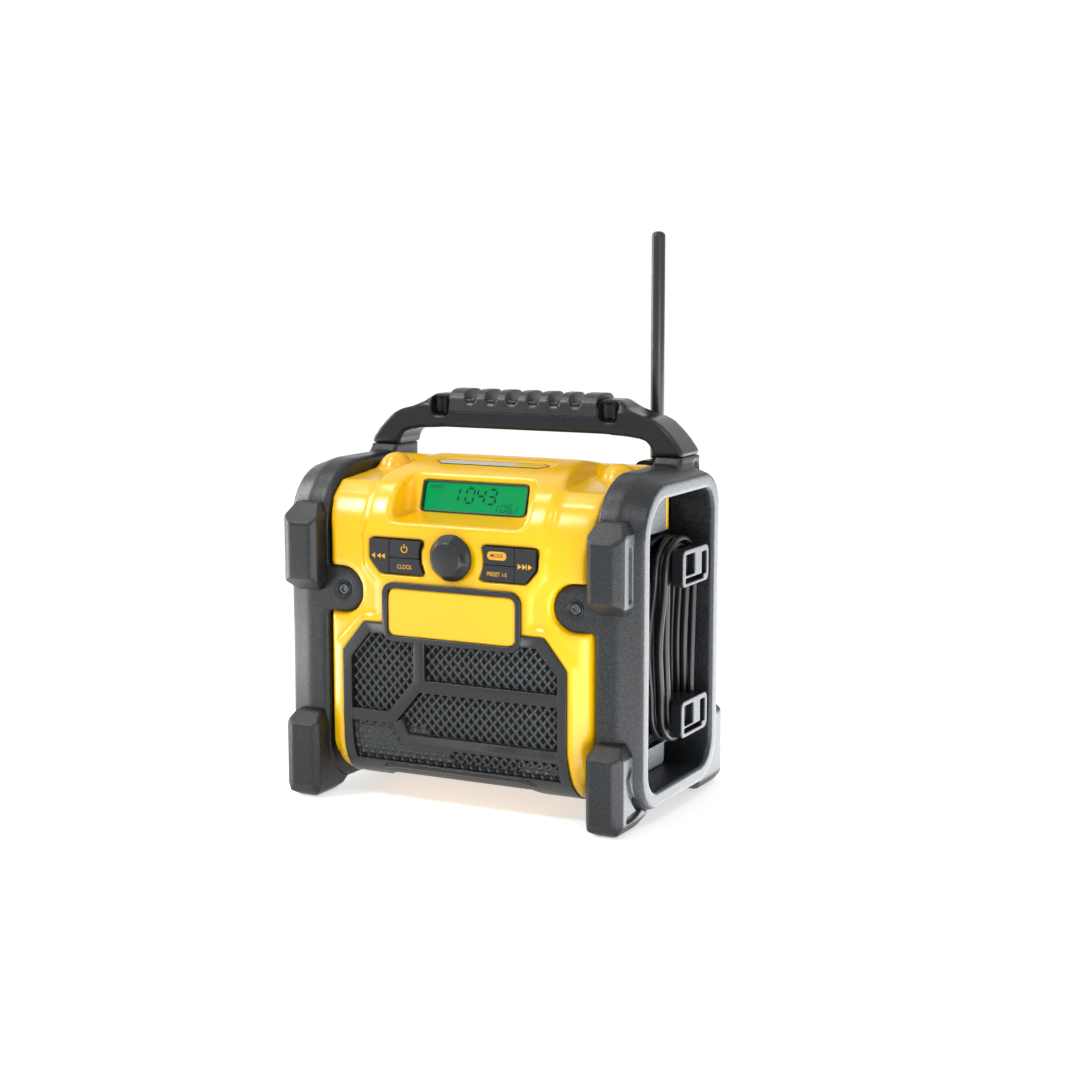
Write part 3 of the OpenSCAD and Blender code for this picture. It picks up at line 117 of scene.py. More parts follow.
FILL, PAPER = 0.42, 1           # strength of the surroundings as a light, and as looked at
world = bpy.data.worlds.new("studio")
bpy.context.scene.world = world
world.use_nodes = True
sky = world.node_tree
sky.nodes.clear()
fill, paper = (add_node(sky, "Background", {"Color": (1, 1, 1, 1), "Strength": strength})
               for strength in (FILL, PAPER))
add_node(sky, "OutputWorld", {
    "Surface": add_node(sky, "MixShader", {0: seen(sky), 1: fill, 2: paper})})


def softbox(name, place, target, wide, high, watts):
    """A rectangular area lamp at place, turned to target."""
    light = bpy.data.lights.new(name, "AREA")
    light.shape = "RECTANGLE"
    light.size, light.size_y, light.energy = wide, high, watts
    lamp = linked(name, light)
    aim(lamp, place, target)
    lamp.visible_camera = False


MIDDLE = (0, 0, 0.13)
softbox("key_light", (0.72, -1.05, 1.45), MIDDLE, 0.42, 0.36, 4.7)
softbox("shoulder_light", (-0.79, -0.93, 1.27), MIDDLE, 0.24, 0.24, 8)
softbox("top_light", (-0.62, -0.24, 1.4), MIDDLE, 0.34, 0.34, 3.2)
softbox("side_card", (1.15, -0.72, 0.16), (0.1, -0.05, 0.13), 0.45, 0.3, 3.3)
softbox("left_card", (-1.25, 0, 0.46), MIDDLE, 0.26, 0.8, 9)
softbox("left_table", (-0.62, -0.2, 0.004), (-0.62, -0.2, 1), 0.5, 0.9, 6)
softbox("side_table", (0.78, 0.6, 0.004), (0.78, 0.6, 1), 1.3, 2.6, 31)


def new_material(name):
    """A material, its tree and the tree's main shader."""
    material = bpy.data.materials.new(name)
    material.use_nodes = True
    return material, material.node_tree, material.node_tree.nodes["Principled BSDF"]


FLOOR_HALF = 6
SWEEP_GLOW = 0.6                # makes the floor that is looked at as white as the paper
floor_sheet = bmesh.new()
ops.create_grid(floor_sheet, x_segments=1, y_segments=1, size=FLOOR_HALF)
floor_mesh = bpy.data.meshes.new("floor")
floor_sheet.to_mesh(floor_mesh)
floor_sheet.free()
floor = linked("floor", floor_mesh)
white_sweep, sweep, paint = new_material("white_sweep")
wire(paint, {"Base Color": (0.9, 0.9, 0.9, 1), "Roughness": 0.9})
glow = add_node(sweep, "Emission", {"Color": (1, 1, 1, 1), "Strength": SWEEP_GLOW})
no_glow = add_node(sweep, "Emission", {"Color": (0, 0, 0, 1), "Strength": 0})
own_glow = add_node(sweep, "MixShader", {0: seen(sweep), 1: no_glow, 2: glow})
wire(sweep.nodes["Material Output"], {
    "Surface": add_node(sweep, "AddShader", {0: paint, 1: own_glow})})
floor_mesh.materials.append(white_sweep)


# ----------------------------
# Mains lead: 1.8 m of round two-core lead in a PVC sheath. It leaves the strain relief in the
# right side's recess, is wound five and a half turns round the two cleats, inner layer first,
# and its end hangs forward to the plug parked behind the frame's front bar.
# ----------------------------
LEAD_D = 4.5                            # mm, as every size in this section
LEAD_Y, LEAD_LOW, LEAD_HIGH = 22, 65, 155   # the winding's middle and its two round ends
INNER_R, OUTER_R = 18.05, 22.55
LEAD_EXIT = (104.6, -21.7, 46.95)
inlet_route = [LEAD_EXIT, (104.6, -14, 46.95), (104.4, -5, 46.95), (104.1, 5, 46.95),
               (104, 14, 46.95)]
tail_route = [(103.4, 2, 174.8), (103.8, -13.1, 172.6), (104.5, -23.5, 168.5),
              (105.5, -31.1, 161.1), (106.4, -35.4, 151.5), (106.7, -36.2, 142)]


def on_winding(radius, share, front_bow, rear_bow):
    """The point (y, z) at this share of a turn, which starts below the lower cleat and rises
    at the rear; each straight run hangs a little slack."""
    arc, run = pi * radius, LEAD_HIGH - LEAD_LOW
    way, end, bow = 1, LEAD_LOW, rear_bow
    at = (share * 2 * (arc + run) - arc / 2) % (2 * (arc + run))    # up the rear, over the top
    if at >= run + arc:                 # and down the front, round below
        way, end, bow = -1, LEAD_HIGH, front_bow
        at -= run + arc
    if at < run:
        return LEAD_Y + way * radius - bow * sin(pi * at / run) ** 2, end + way * at
    angle = (at - run) / radius
    return LEAD_Y + way * radius * cos(angle), end + way * (run + radius * sin(angle))


def ease(low, high, value):
    """0 up to low, 1 from high on, and a smooth rise between."""
    share = min(max((value - low) / (high - low), 0), 1)
    return share * share * (3 - 2 * share)


FRONT_BOWS = [2.0, 3.4, 2.4, 6.2, 8.6, 8.6]     # slack of each turn's front run
REAR_BOWS = [1.5, 3.0, 2.0, 0.5, 1.5, 1.5]      # and of its rear run
TURNS, PER_TURN = 5.53, 64
LAST_INNER, CLIMB = 3.1, (3.05, 3.4)    # in turns: the inner layer's end, the way to the outer
FIRST_X, STEP_OUT, STEP_BACK = 104, 4.62, 7.0   # how a layer moves along x in one turn
winding_route = []
for step in range(int(TURNS * PER_TURN) + 1):
    turn = step / PER_TURN
    radius = INNER_R + (OUTER_R - INNER_R) * ease(*CLIMB, turn)
    y, z = on_winding(radius, turn, FRONT_BOWS[int(turn)], REAR_BOWS[int(turn)])
    out = FIRST_X + STEP_OUT * min(turn, LAST_INNER) - STEP_BACK * max(turn - CLIMB[1], 0)
    winding_route.append((out, y, z))


def tube(name, points, radius_mm, round_steps, long_steps):
    """A round curve along points in mm, its ends closed."""
    curve = bpy.data.curves.new(name, "CURVE")
    curve.dimensions = "3D"
    curve.bevel_depth = radius_mm * MM
    curve.bevel_resolution, curve.resolution_u = round_steps, long_steps
    curve.use_fill_caps = True
    strand = curve.splines.new("NURBS")
    strand.points.add(len(points) - 1)
    for point, place in zip(strand.points, points):
        point.co = (*[c * MM for c in place], 1)
    strand.order_u = 4
    strand.use_endpoint_u = True
    return curve


lead_curve = tube("mains_lead", [*inlet_route, *winding_route, *tail_route], LEAD_D / 2, 3, 2)
mains_lead = linked("mains_lead", lead_curve)


def noise(tree, pitch_mm, detail, roughness=0.5):
    """Cloudy noise fixed to the piece."""
    return add_node(tree, "TexNoise", {
        "Scale": 1 / (pitch_mm * MM), "Detail": detail, "Roughness": roughness,
        "Vector": add_node(tree, "TexCoord").outputs["Object"]})


def remap(tree, value, from_low, from_high, low=0, high=1):
    """Takes one span of values to another, and stops at its ends."""
    return add_node(tree, "MapRange", {"From Min": from_low, "From Max": from_high,
                                       "To Min": low, "To Max": high, "Value": value})


def blend(tree, share, low, high):
    """A colour between two."""
    return add_node(tree, "Mix", {"data_type": "RGBA", 0: share, 6: low, 7: high}).outputs[2]


def x_beyond(tree, vector, limit):
    """1 where this vector's x, either way, is over the limit."""
    x = add_node(tree, "SeparateXYZ", {0: vector}).outputs["X"]
    return maths(tree, "GREATER_THAN", maths(tree, "ABSOLUTE", x), limit)


def finish(name, base, edge_wear_and_sheen, rough, ior, grain, edge, cloud_mm=40, spread=0.06,
           peak_glint=0.06, shine=0.5, metal=0, sheen_x_mm=None, painted_sheen="#5a5e63",
           sheen_rough=0.26):
    """A used surface: its colour drifts slowly; it has a grain (pitch and depth in mm), whose
    peaks are painted lighter as painted glints and its pits a little darker; its edges (width in
    mm, and how much) are painted paler in broken patches, partly wear and partly a painted edge
    highlight. Faces that look sideways, further out than the given x in mm, are smoother and
    painted pale, a painted reflection of the light at the side."""
    material, tree, skin = new_material(name)
    cloud, fine = noise(tree, cloud_mm, 3), noise(tree, grain[0], 2.5, 0.6)
    soft_edge = add_node(tree, "Bevel", {"samples": 6, "Radius": edge[0] * MM})
    normal = add_node(tree, "NewGeometry").outputs["True Normal"]
    turned = add_node(tree, "VectorMath", {"operation": "DOT_PRODUCT", 0: soft_edge, 1: normal})
    # edges painted towards the pale colour in broken patches: partly wear, partly a painted edge
    # highlight
    wear_and_sheen_edges = remap(tree, turned.outputs["Value"], 0.985, 0.86, 0, edge[1])   # cosines
    patches = remap(tree, noise(tree, 6, 5), 0.42, 0.62)
    drift = blend(tree, cloud, linear(base, 1 - spread), linear(base, 1 + spread))
    # the grain's peaks painted lighter as painted glints, its pits a little darker
    painted_glints = remap(tree, fine, 0.42, 0.64, 1 - min(peak_glint, 0.3), 1 + peak_glint)
    grain_and_glints = add_node(tree, "VectorMath", {"operation": "SCALE", 0: drift, "Scale": painted_glints})
    colour = blend(tree, maths(tree, "MULTIPLY", wear_and_sheen_edges, patches), grain_and_glints, linear(edge_wear_and_sheen))
    matt = remap(tree, cloud, 0.3, 0.7, rough - 0.06, rough + 0.06)
    bump = add_node(tree, "Bump", {"Strength": 1, "Distance": grain[1] * MM, "Height": fine,
                                   "Normal": soft_edge})
    # sideways outer faces painted pale and made smoother: a painted reflection of the light at the
    # side
    if sheen_x_mm is not None:
        place = add_node(tree, "TexCoord").outputs["Object"]
        painted_sheen_mask = maths(tree, "MULTIPLY", x_beyond(tree, place, sheen_x_mm * MM),
                        x_beyond(tree, normal, 0.93))
        mottle = remap(tree, fine, 0.35, 0.65, 0.8, 1.2)
        mottled = add_node(tree, "VectorMath", {
            "operation": "SCALE", 0: linear(painted_sheen)[:3], "Scale": mottle})
        colour = blend(tree, painted_sheen_mask, colour, mottled)
        matt = add_node(tree, "Mix", {0: painted_sheen_mask, 2: matt, 3: sheen_rough})
        wire(bump, {"Strength": remap(tree, painted_sheen_mask, 0, 1, 1, 0.4)})
    wire(skin, {"IOR": ior, "Specular IOR Level": shine, "Metallic": metal,
                "Base Color": colour, "Roughness": matt, "Normal": bump})
    return material


# PVC lead sheath: satin black, fine extruded skin with a faint dusty bloom.
lead_pvc = finish("extruded_pvc_sheath", "#17181a", "#2c2e30", 0.36, 1.53, grain=(0.9, 0.02),
                  edge=(0.2, 0.2))
lead_curve.materials.append(lead_pvc)


def dress(material, *nodes):
    """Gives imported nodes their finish, and leaves their shape alone."""
    for node in nodes:
        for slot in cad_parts[node].material_slots:
            slot.material = material


# The plug: the lead's rubber, with two nickel-plated blades that shine below the moulding.
BLADE_TOP_Z, NICKEL_ROUGH = 99.8, 0.22
plug_finish = finish("plug_rubber_nickelled_blades", "#17181a", "#2c2e30", 0.4, 1.53,
                     grain=(1, 0.03), edge=(0.4, 0.3))
on_plug = plug_finish.node_tree
plug_skin = on_plug.nodes["Principled BSDF"]
rubber, rubber_rough = (plug_skin.inputs[socket].links[0].from_socket
                        for socket in ("Base Color", "Roughness"))
height = add_node(on_plug, "SeparateXYZ", {
    0: add_node(on_plug, "TexCoord").outputs["Object"]}).outputs["Z"]
blade = maths(on_plug, "LESS_THAN", height, BLADE_TOP_Z * MM)
wire(plug_skin, {
    "Base Color": blend(on_plug, blade, rubber, linear("#b9bab4")),
    "Roughness": add_node(on_plug, "Mix", {0: blade, 2: rubber_rough, 3: NICKEL_ROUGH}),
    "Metallic": blade})
dress(plug_finish, "plug")
dress(lead_pvc, "strain_relief")
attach(mains_lead, "body")
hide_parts("lead_inlet", "lead_winding", "lead_tail")


# ----------------------------
# Body: front housing with console, recess and domes. Injection-moulded ABS in yellow, satin
# from a spark-eroded mould, with a small radius on every edge; the rear housing is black.
# ----------------------------
def add_piece(name, shape, slot, *materials, body="body"):
    """A finished mesh or drawing as a piece that rides on its body."""
    mesh = shape
    if isinstance(shape, bmesh.types.BMesh):
        mesh = bpy.data.meshes.new(name)
        shape.to_mesh(mesh)
        shape.free()
    mesh.name = name
    for material in materials:
        mesh.materials.append(material)
    piece = linked(name, mesh)
    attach(piece, body)
    return piece


WELD = 0.002 * MM                       # corners nearer than this are one
SAME_PLANE, SLIVER = 0.99995, 2e-10     # cosine between faces that are one; area in m2
SMOOTH = cos(radians(34))               # faces that meet at less are shaded as one surface


def welded(node):
    """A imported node's mesh to work on, its doubled corners merged."""
    shell = bmesh.new()
    shell.from_mesh(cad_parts[node].data)
    ops.remove_doubles(shell, verts=shell.verts, dist=WELD)
    ops.dissolve_degenerate(shell, edges=shell.edges, dist=WELD)
    for face in shell.faces:
        face.smooth = True
        face.material_index = 0
    shell.normal_update()
    return shell


def facets(shell):
    """Groups a mesh's triangles into the flat faces they came from: each triangle's group,
    and each group's normal times its area."""
    group, pull = {}, []
    for seed in shell.faces:
        if seed in group:
            continue
        group[seed] = len(pull)
        total, heap = Vector(), [seed]
        while heap:
            face = heap.pop()
            total += face.normal * face.calc_area()
            for other in (f for edge in face.edges for f in edge.link_faces):
                if other not in group and (other.normal.dot(seed.normal) > SAME_PLANE
                                           or other.calc_area() < SLIVER):
                    group[other] = len(pull)
                    heap.append(other)
        pull.append(total)
    return group, pull


def moulded(node, slot, material, body="body", edge_mm=0):
    """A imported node's own shape. Curved faces are shaded smooth, flat ones stay flat; where
    edge_mm is given, the mould's radius is cut on its edges."""
    shell = welded(node)
    shading = []
    if not edge_mm:
        group, pull = facets(shell)
        lean = [p.normalized() for p in pull]
        for face in shell.faces:
            own = lean[group[face]]
            for corner in face.loops:
                near = {group[f] for f in corner.vert.link_faces}
                shading.append(sum((pull[g] for g in near if lean[g].dot(own) > SMOOTH),
                                   Vector()).normalized())
    piece = add_piece("moulded_" + node, shell, slot, material, body=body)
    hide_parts(node)
    if shading:
        piece.data.normals_split_custom_set(shading)
    if edge_mm:
        bevel = piece.modifiers.new("mould_radius", "BEVEL")
        bevel.width, bevel.segments = edge_mm * MM, 2
        bevel.limit_method, bevel.angle_limit = "ANGLE", radians(28)
        bevel.use_clamp_overlap = False
        piece.modifiers.new("even_shading", "WEIGHTED_NORMAL").keep_sharp = True
    return piece


def softened(node, slot, material, voxel_mm, passes):
    """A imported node's own shape with every edge rounded off as a mould rounds it: the copy is
    remeshed evenly and its edges relaxed."""
    piece = add_piece("moulded_" + node, welded(node), slot, material)
    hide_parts(node)
    even = piece.modifiers.new("even_mesh", "REMESH")
    even.mode, even.voxel_size = "VOXEL", voxel_mm * MM
    relax = piece.modifiers.new("relaxed_edges", "SMOOTH")
    relax.factor, relax.iterations = 0.5, passes
    mesh = bpy.data.meshes.new_from_object(
        piece.evaluated_get(bpy.context.evaluated_depsgraph_get()))
    piece.modifiers.clear()
    piece.data = mesh
    mesh.materials.clear()
    mesh.materials.append(material)
    mesh.shade_smooth()


# Moulded ABS, yellow: satin, a light moulded grain, edges painted a shade paler in patches,
# partly rub and partly a painted edge highlight.
yellow_abs = finish("moulded_abs_yellow", "#fdc50a", "#ffd95a", 0.2, 1.54, grain=(1.1, 0.008),
                    edge=(2.4, 0.25), cloud_mm=70, spread=0.02, peak_glint=0.015)
# Moulded ABS, black: the grille's and rear cover's satin.
black_abs = finish("moulded_abs_black", "#17191c", "#484c50", 0.3, 1.54, grain=(1, 0.02),
                   edge=(1.2, 0.4), shine=0.4)
softened("front_shell", "yellow_plastic", yellow_abs, 1.6, 5)
moulded("rear_shell", "black_plastic", black_abs)
moulded("antenna_base", "black_plastic", black_abs)


def as_mesh(curve):
    """A curve or a text as a mesh."""
    holder = linked(curve.name, curve)
    mesh = bpy.data.meshes.new_from_object(holder)
    bpy.data.objects.remove(holder)
    return mesh


BEAD_SINK = 0.9                         # mm from the surface down to a bead's middle


def bead(name, points, radius_mm, slot, material):
    """A half-round bead raised on a moulding: each point holds a place in mm and the way out.
    Its two ends dip under the surface."""
    route = []
    for at, (place, out) in enumerate(points):
        deep = BEAD_SINK + (1.6 * radius_mm if at in (0, len(points) - 1) else 0)
        route.append(Vector(place) - Vector(out).normalized() * deep)
    mesh = as_mesh(tube(name, route, radius_mm, 5, 8))
    mesh.shade_smooth()
    add_piece(name, mesh, slot, material)


# the raised lip that runs round the low edge of the display's recess
UP_FRONT, LOW_FRONT = (0, -0.84, 0.54), (0, -0.96, 0.29)
RIGHT_OF_RECESS = [((44.5, -72.4, 188.3), LOW_FRONT), ((49.2, -72.0, 189.6), LOW_FRONT),
                   ((52.3, -70.5, 193.5), (0, -0.91, 0.42)), ((53.4, -65.7, 202.1), UP_FRONT),
                   ((52.8, -60.5, 209), (0, -0.74, 0.67)), ((50, -52, 215), (0, -0.6, 0.8))]
lip = [((-x, y, z), out) for (x, y, z), out in reversed(RIGHT_OF_RECESS)]
lip += [((x, -72.4, 188.2), LOW_FRONT) for x in (-36, -12, 12, 36)] + RIGHT_OF_RECESS
bead("recess_lip", lip, 1.7, "yellow_plastic", yellow_abs)


# ----------------------------
# Grille: one black moulding over both speakers. Its sunk fields are a lattice of small
# diamond holes, which runs out into solid studs towards the lower corners.
# ----------------------------
FIELD_FLOOR_Y = -70.8                   # mm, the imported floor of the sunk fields
FIELD_HALF, FIELD_LOW, FIELD_TOP = 76.1, 29, 115.8
CUT_IN, CUT_DOWN = 14, 17               # the fields' cut upper corners
ROLL_R, WALLS_HALF, WALLS_LOW, WALLS_TOP = 1.9, 77.5, 28, 117.5
grille = moulded("grille", "black_plastic", black_abs)
# roll the edges of the bands and of the rim where they turn in to the sunk fields
rolled = bmesh.new()
rolled.from_mesh(grille.data)
ops.dissolve_limit(rolled, angle_limit=radians(0.6), verts=rolled.verts, edges=rolled.edges)
brinks = []
for edge in rolled.edges:
    if len(edge.link_faces) == 2 and edge.is_convex:
        outwards, inwards = sorted(f.normal.y for f in edge.link_faces)
        middle = (edge.verts[0].co + edge.verts[1].co) / 2 / MM
        if (outwards < -0.6 and abs(inwards) < 0.3 and abs(middle.x) < WALLS_HALF
                and WALLS_LOW < middle.z < WALLS_TOP):
            brinks.append(edge)
ops.bevel(rolled, geom=brinks, offset=ROLL_R * MM, segments=3, profile=0.5,
          affect="EDGES", clamp_overlap=True)
rolled.normal_update()
for face in rolled.faces:
    face.smooth = True
rolled.to_mesh(grille.data)
rolled.free()
grille.data.set_sharp_from_angle(angle=radians(40))


# how far the radio's front draws back and at which height, a smooth line through these points
KEEL, KEEL_STEPS = [Vector(p) for p in ((0, 62), (1, 45), (5, 31), (12, 21.5))], 6
keel_line = []
for a, b, c, d in zip(KEEL[:1] + KEEL, KEEL, KEEL[1:], KEEL[2:] + KEEL[-1:]):
    for t in (k / KEEL_STEPS for k in range(KEEL_STEPS)):
        keel_line.append(0.5 * (2 * b + (c - a) * t + (2 * a - 5 * b + 4 * c - d) * t * t
                                + (3 * b - a - 3 * c + d) * t ** 3))
keel_line.append(KEEL[-1])


def keel_depth(z):
    """How far the radio's front draws back at this height."""
    for (y0, z0), (y1, z1) in zip(keel_line, keel_line[1:]):
        if z1 <= z <= z0:
            return y0 + (y1 - y0) * (z0 - z) / (z0 - z1)
    return 0 if z > keel_line[0][1] else keel_line[-1][0]


def studded(x, z):
    """Where the lattice is solid studs instead of holes."""
    return (z < 56 and x < -20) or (z < 43 and x < -5) or z < 33.5 or (z < 38 and x > 48)


def all_of(drawing):
    """A drawing's corners, edges and faces."""
    return drawing.verts[:] + drawing.edges[:] + drawing.faces[:]


def verts_of(made):
    """The corners among what a mesh operator made."""
    return [g for g in made["geom"] if isinstance(g, bmesh.types.BMVert)]


PITCH_X, PITCH_Z = 6.5, 7.4             # spacing of the holes in one row, and of the rows
LATTICE_T, PIT_DEPTH = 1.75, 1.65
BAR_W, BAR_SLOPE = 1.05, 0.6            # half a bar's width, and how far its flank falls
CORNER_IN, SIDE_OUT = 0.86, 1.12        # rounds a hole: its corners drawn in, its sides out
KNOT, SADDLE = 0.5, -0.3                # height where two bars cross, and halfway between
lattice = bmesh.new()
ops.create_circle(lattice, cap_ends=True, segments=4, radius=1)
ops.scale(lattice, vec=(PITCH_X / 2, PITCH_Z / 2, 1), verts=lattice.verts)
ops.bisect_edges(lattice, edges=lattice.edges, cuts=1)
pit = lattice.faces[:]
ops.inset_individual(lattice, faces=pit, thickness=BAR_W, depth=-BAR_SLOPE)
for vert in pit[0].verts:
    corner = min(abs(vert.co.x), abs(vert.co.y)) < 0.01
    vert.co.xy *= CORNER_IN if corner else SIDE_OUT
ops.inset_individual(lattice, faces=pit, thickness=0.15, depth=BAR_SLOPE - PIT_DEPTH)
for vert in lattice.verts:
    if abs(vert.co.z) < 0.01:
        vert.co.z = KNOT if min(abs(vert.co.x), abs(vert.co.y)) < 0.01 else SADDLE
# the pit's floor takes the painted shade
pit[0].material_index = 1
columns, rows = int(2 * FIELD_HALF / PITCH_X) + 2, int((FIELD_TOP - FIELD_LOW) / PITCH_Z) + 2
for across, steps in (((PITCH_X, 0, 0), columns), ((0, PITCH_Z, 0), rows)):
    ops.spin(lattice, geom=all_of(lattice), dvec=across, axis=(0, 0, 1), angle=0,
             steps=steps, use_duplicate=True)
between_rows = ops.duplicate(lattice, geom=all_of(lattice))
ops.translate(lattice, vec=(PITCH_X / 2, PITCH_Z / 2, 0), verts=verts_of(between_rows))
x_start, z_start = -FIELD_HALF - PITCH_X, FIELD_LOW - PITCH_Z
ops.translate(lattice, vec=(x_start, z_start, 0), verts=lattice.verts)
ops.remove_doubles(lattice, verts=lattice.verts, dist=0.02)
# a stud is a hole turned inside out: its floor shrinks to the tip, its rim spreads to the foot
STUD_TIP, STUD_FOOT = (0.9, 0.5), (-0.2, 1.15)      # height, share of the hole's size
for vert in lattice.verts:
    if vert.co.z < -0.45 and studded(vert.co.x, vert.co.y):
        across, up = (vert.co.x - x_start) / PITCH_X, (vert.co.y - z_start) / PITCH_Z
        centre = min(((round(across - h) + h, round(up - h) + h) for h in (0, 0.5)),
                     key=lambda c: abs(c[0] - across) + abs(c[1] - up))
        middle = Vector((x_start + centre[0] * PITCH_X, z_start + centre[1] * PITCH_Z))
        level, share = STUD_TIP if vert.co.z < -1 else STUD_FOOT
        vert.co.xy = middle + (vert.co.xy - middle) * share
        vert.co.z = level
for face in lattice.faces:
    if face.calc_center_median().z > 0.1:
        face.material_index = 0
# the lattice ends inside the rim's walls
x_end, z_low, z_top = FIELD_HALF + 0.5, FIELD_LOW - 0.5, FIELD_TOP + 0.5
z_cut = FIELD_TOP - CUT_DOWN
ENDS = [((x_end, 0), (1, 0)), ((-x_end, 0), (-1, 0)), ((0, z_top), (0, 1)),
        ((0, z_low), (0, -1)), ((x_end, z_cut), (CUT_DOWN, CUT_IN)),
        ((-x_end, z_cut), (-CUT_DOWN, CUT_IN))]
for at, outwards in ENDS:
    ops.bisect_plane(lattice, geom=all_of(lattice), dist=0.001, plane_co=(*at, 0),
                     plane_no=(*outwards, 0), clear_outer=True)
LATTICE_BACK = -2
skirt = ops.extrude_edge_only(lattice, edges=[e for e in lattice.edges if e.is_boundary])
for vert in verts_of(skirt):
    vert.co.z = LATTICE_BACK
ops.holes_fill(lattice, edges=[e for e in lattice.edges if e.is_boundary], sides=0)
for height in (31, 33, 35, 38, 41, 45, 50, 56):     # lets it bend with the keel
    ops.bisect_plane(lattice, geom=all_of(lattice), dist=0.001,
                     plane_co=(0, height, 0), plane_no=(0, 1, 0))
for vert in lattice.verts:
    x, z, out = vert.co
    vert.co = (x * MM, (FIELD_FLOOR_Y - LATTICE_T - out + keel_depth(z)) * MM, z * MM)
ops.recalc_face_normals(lattice, faces=lattice.faces)
# The pits' floors: matt near-black, a painted shade that stands in for the dark depth behind
# the holes.
hole_floor_shade = finish("painted_hole_shade", "#0c0d0e", "#141516", 0.9, 1.45, grain=(0.8, 0.1),
               edge=(0.1, 0))
# The lattice: the grille's own plastic, painted paler than the rest of the grille: painted light
# for the sunk lattice, which lies in shade.
lattice_painted_paler = finish("abs_lattice_painted_paler", "#2e3235", "#585d61", 0.34, 1.54, grain=(1.2, 0.03),
                     edge=(0.5, 0.5), peak_glint=0.1)
add_piece("speaker_lattice", lattice, "black_plastic", lattice_painted_paler, hole_floor_shade)
# the rolled lip along the grille's foot, which curls down to a pad at each end
ROLLED = [((56, -66.6, 23.4), (0, -0.72, -0.69)), ((60.5, -63.8, 20.4), (0, -0.7, -0.71))]
foot = [((-x, y, z), out) for (x, y, z), out in reversed(ROLLED)]
foot += [((x, -69, 26.3), (0, -0.8, -0.6)) for x in (-51, -42, -14, 14, 42, 51)] + ROLLED
bead("grille_foot_lip", foot, 2.4, "black_plastic", black_abs)

# ----------------------------
# Name plate: a plain yellow ABS tile snapped into the grille's frame, left bare.
# Top plate: a thin silver-lacquered sheet with a black line round it and a yellow right end,
# glued into its seat on the top, left bare too.
# ----------------------------
moulded("name_plate", "yellow_plastic", yellow_abs, edge_mm=0.5)
# Silver lacquer on sheet: metal flakes 0.5 mm apart, drawn coarse enough to show.
silver_lacquer = finish("silver_lacquered_sheet", "#c9c8bd", "#dedbc8", 0.4, 1.5,
                        grain=(0.5, 0.003), edge=(0.2, 0.3), spread=0.08)
# Screen ink of the plate's line: flat brown-black.
line_ink = finish("black_screen_ink", "#26241c", "#3a382e", 0.5, 1.5, grain=(0.5, 0.003),
                  edge=(0.1, 0))


def panel(drawing, wide, high, x=0, y=0, corner=0, segments=1):
    """Adds a flat rectangle with its middle at (x, y), its corners cut or rounded."""
    sheet = ops.create_grid(drawing, x_segments=1, y_segments=1, size=0.5)["verts"]
    ops.scale(drawing, vec=(wide, high, 1), verts=sheet)
    ops.translate(drawing, vec=(x, y, 0), verts=sheet)
    if corner:
        ops.bevel(drawing, geom=sheet, offset=corner, segments=segments, profile=0.5,
                  affect="VERTICES")


def seat(drawing, place, turn=Matrix()):
    """Moves a mesh drawn in mm about the origin to its place in the radio, turned first."""
    drawing.transform(Matrix.Translation([c * MM for c in place]) @ turn @ Matrix.Scale(MM, 4))
    return drawing


STRIP_W, STRIP_H, STRIP_T, STRIP_CORNER = 83.6, 11.6, 1.2, 5.4
LINE_W, FACE_RISE, YELLOW_FROM_X = 0.9, 0.15, 17
strip = bmesh.new()
panel(strip, STRIP_W, STRIP_H, corner=STRIP_CORNER)
ops.solidify(strip, geom=strip.faces[:], thickness=STRIP_T)
ops.recalc_face_normals(strip, faces=strip.faces)
face_up = max(strip.faces, key=lambda f: f.calc_center_median().z)
ops.inset_individual(strip, faces=[face_up], thickness=LINE_W, use_even_offset=True)
for face in strip.faces:
    face.material_index = 0 if face is face_up else 1
ops.inset_individual(strip, faces=[face_up], thickness=0.4, depth=FACE_RISE)
face_up.material_index = 0
ops.bisect_plane(strip, geom=[face_up, *face_up.edges, *face_up.verts], dist=0.001,
                 plane_co=(YELLOW_FROM_X, 0, 0), plane_no=(1, 0, 0))
for face in strip.faces:
    if face.material_index == 0 and face.calc_center_median().x > YELLOW_FROM_X:
        face.material_index = 2
seat(strip, (0, -19, 223.8), Matrix.Rotation(radians(7.5), 4, "X")
     @ Matrix.Translation([0, 0, STRIP_T * MM]))
top_strip = add_piece("top_strip", strip, "silver_plate", silver_lacquer, line_ink, yellow_abs)
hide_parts("top_plate")

# ----------------------------
# Display: a backlit liquid crystal panel behind a clear acrylic window, framed by a thin
# black bezel in the housing's opening. The figures are printed cells, one shade darker.
# ----------------------------
LEAN = radians(15.8)
DISPLAY_BASE = (-48.4, 194.8)           # mm, lower edge of the opening (y, z)
DISPLAY_W, DISPLAY_H = 78, 21
FORWARD = Matrix.Rotation(pi / 2, 4, "X")       # stands a flat drawing up to face the front


def on_display(drawing, depth_mm):
    """Moves a flat drawing (x across, y up the display) onto the display, so far behind its
    opening."""
    return seat(drawing, (0, *DISPLAY_BASE), Matrix.Rotation(-LEAN, 4, "X")
                @ Matrix.Translation([0, depth_mm * MM, 0]) @ FORWARD)


def lit_cell(name, hex_colour, strength):
    """A backlit liquid crystal cell: its own glow, a little uneven."""
    material, tree, face = new_material(name)
    wire(face, {
        "Emission Color": blend(tree, noise(tree, 25, 2), linear(hex_colour, 0.96),
                                linear(hex_colour, 1.04)),
        "Base Color": (0.01, 0.02, 0.015, 1), "Emission Strength": strength,
        "Roughness": 0.3, "Specular IOR Level": 0.1})
    return material


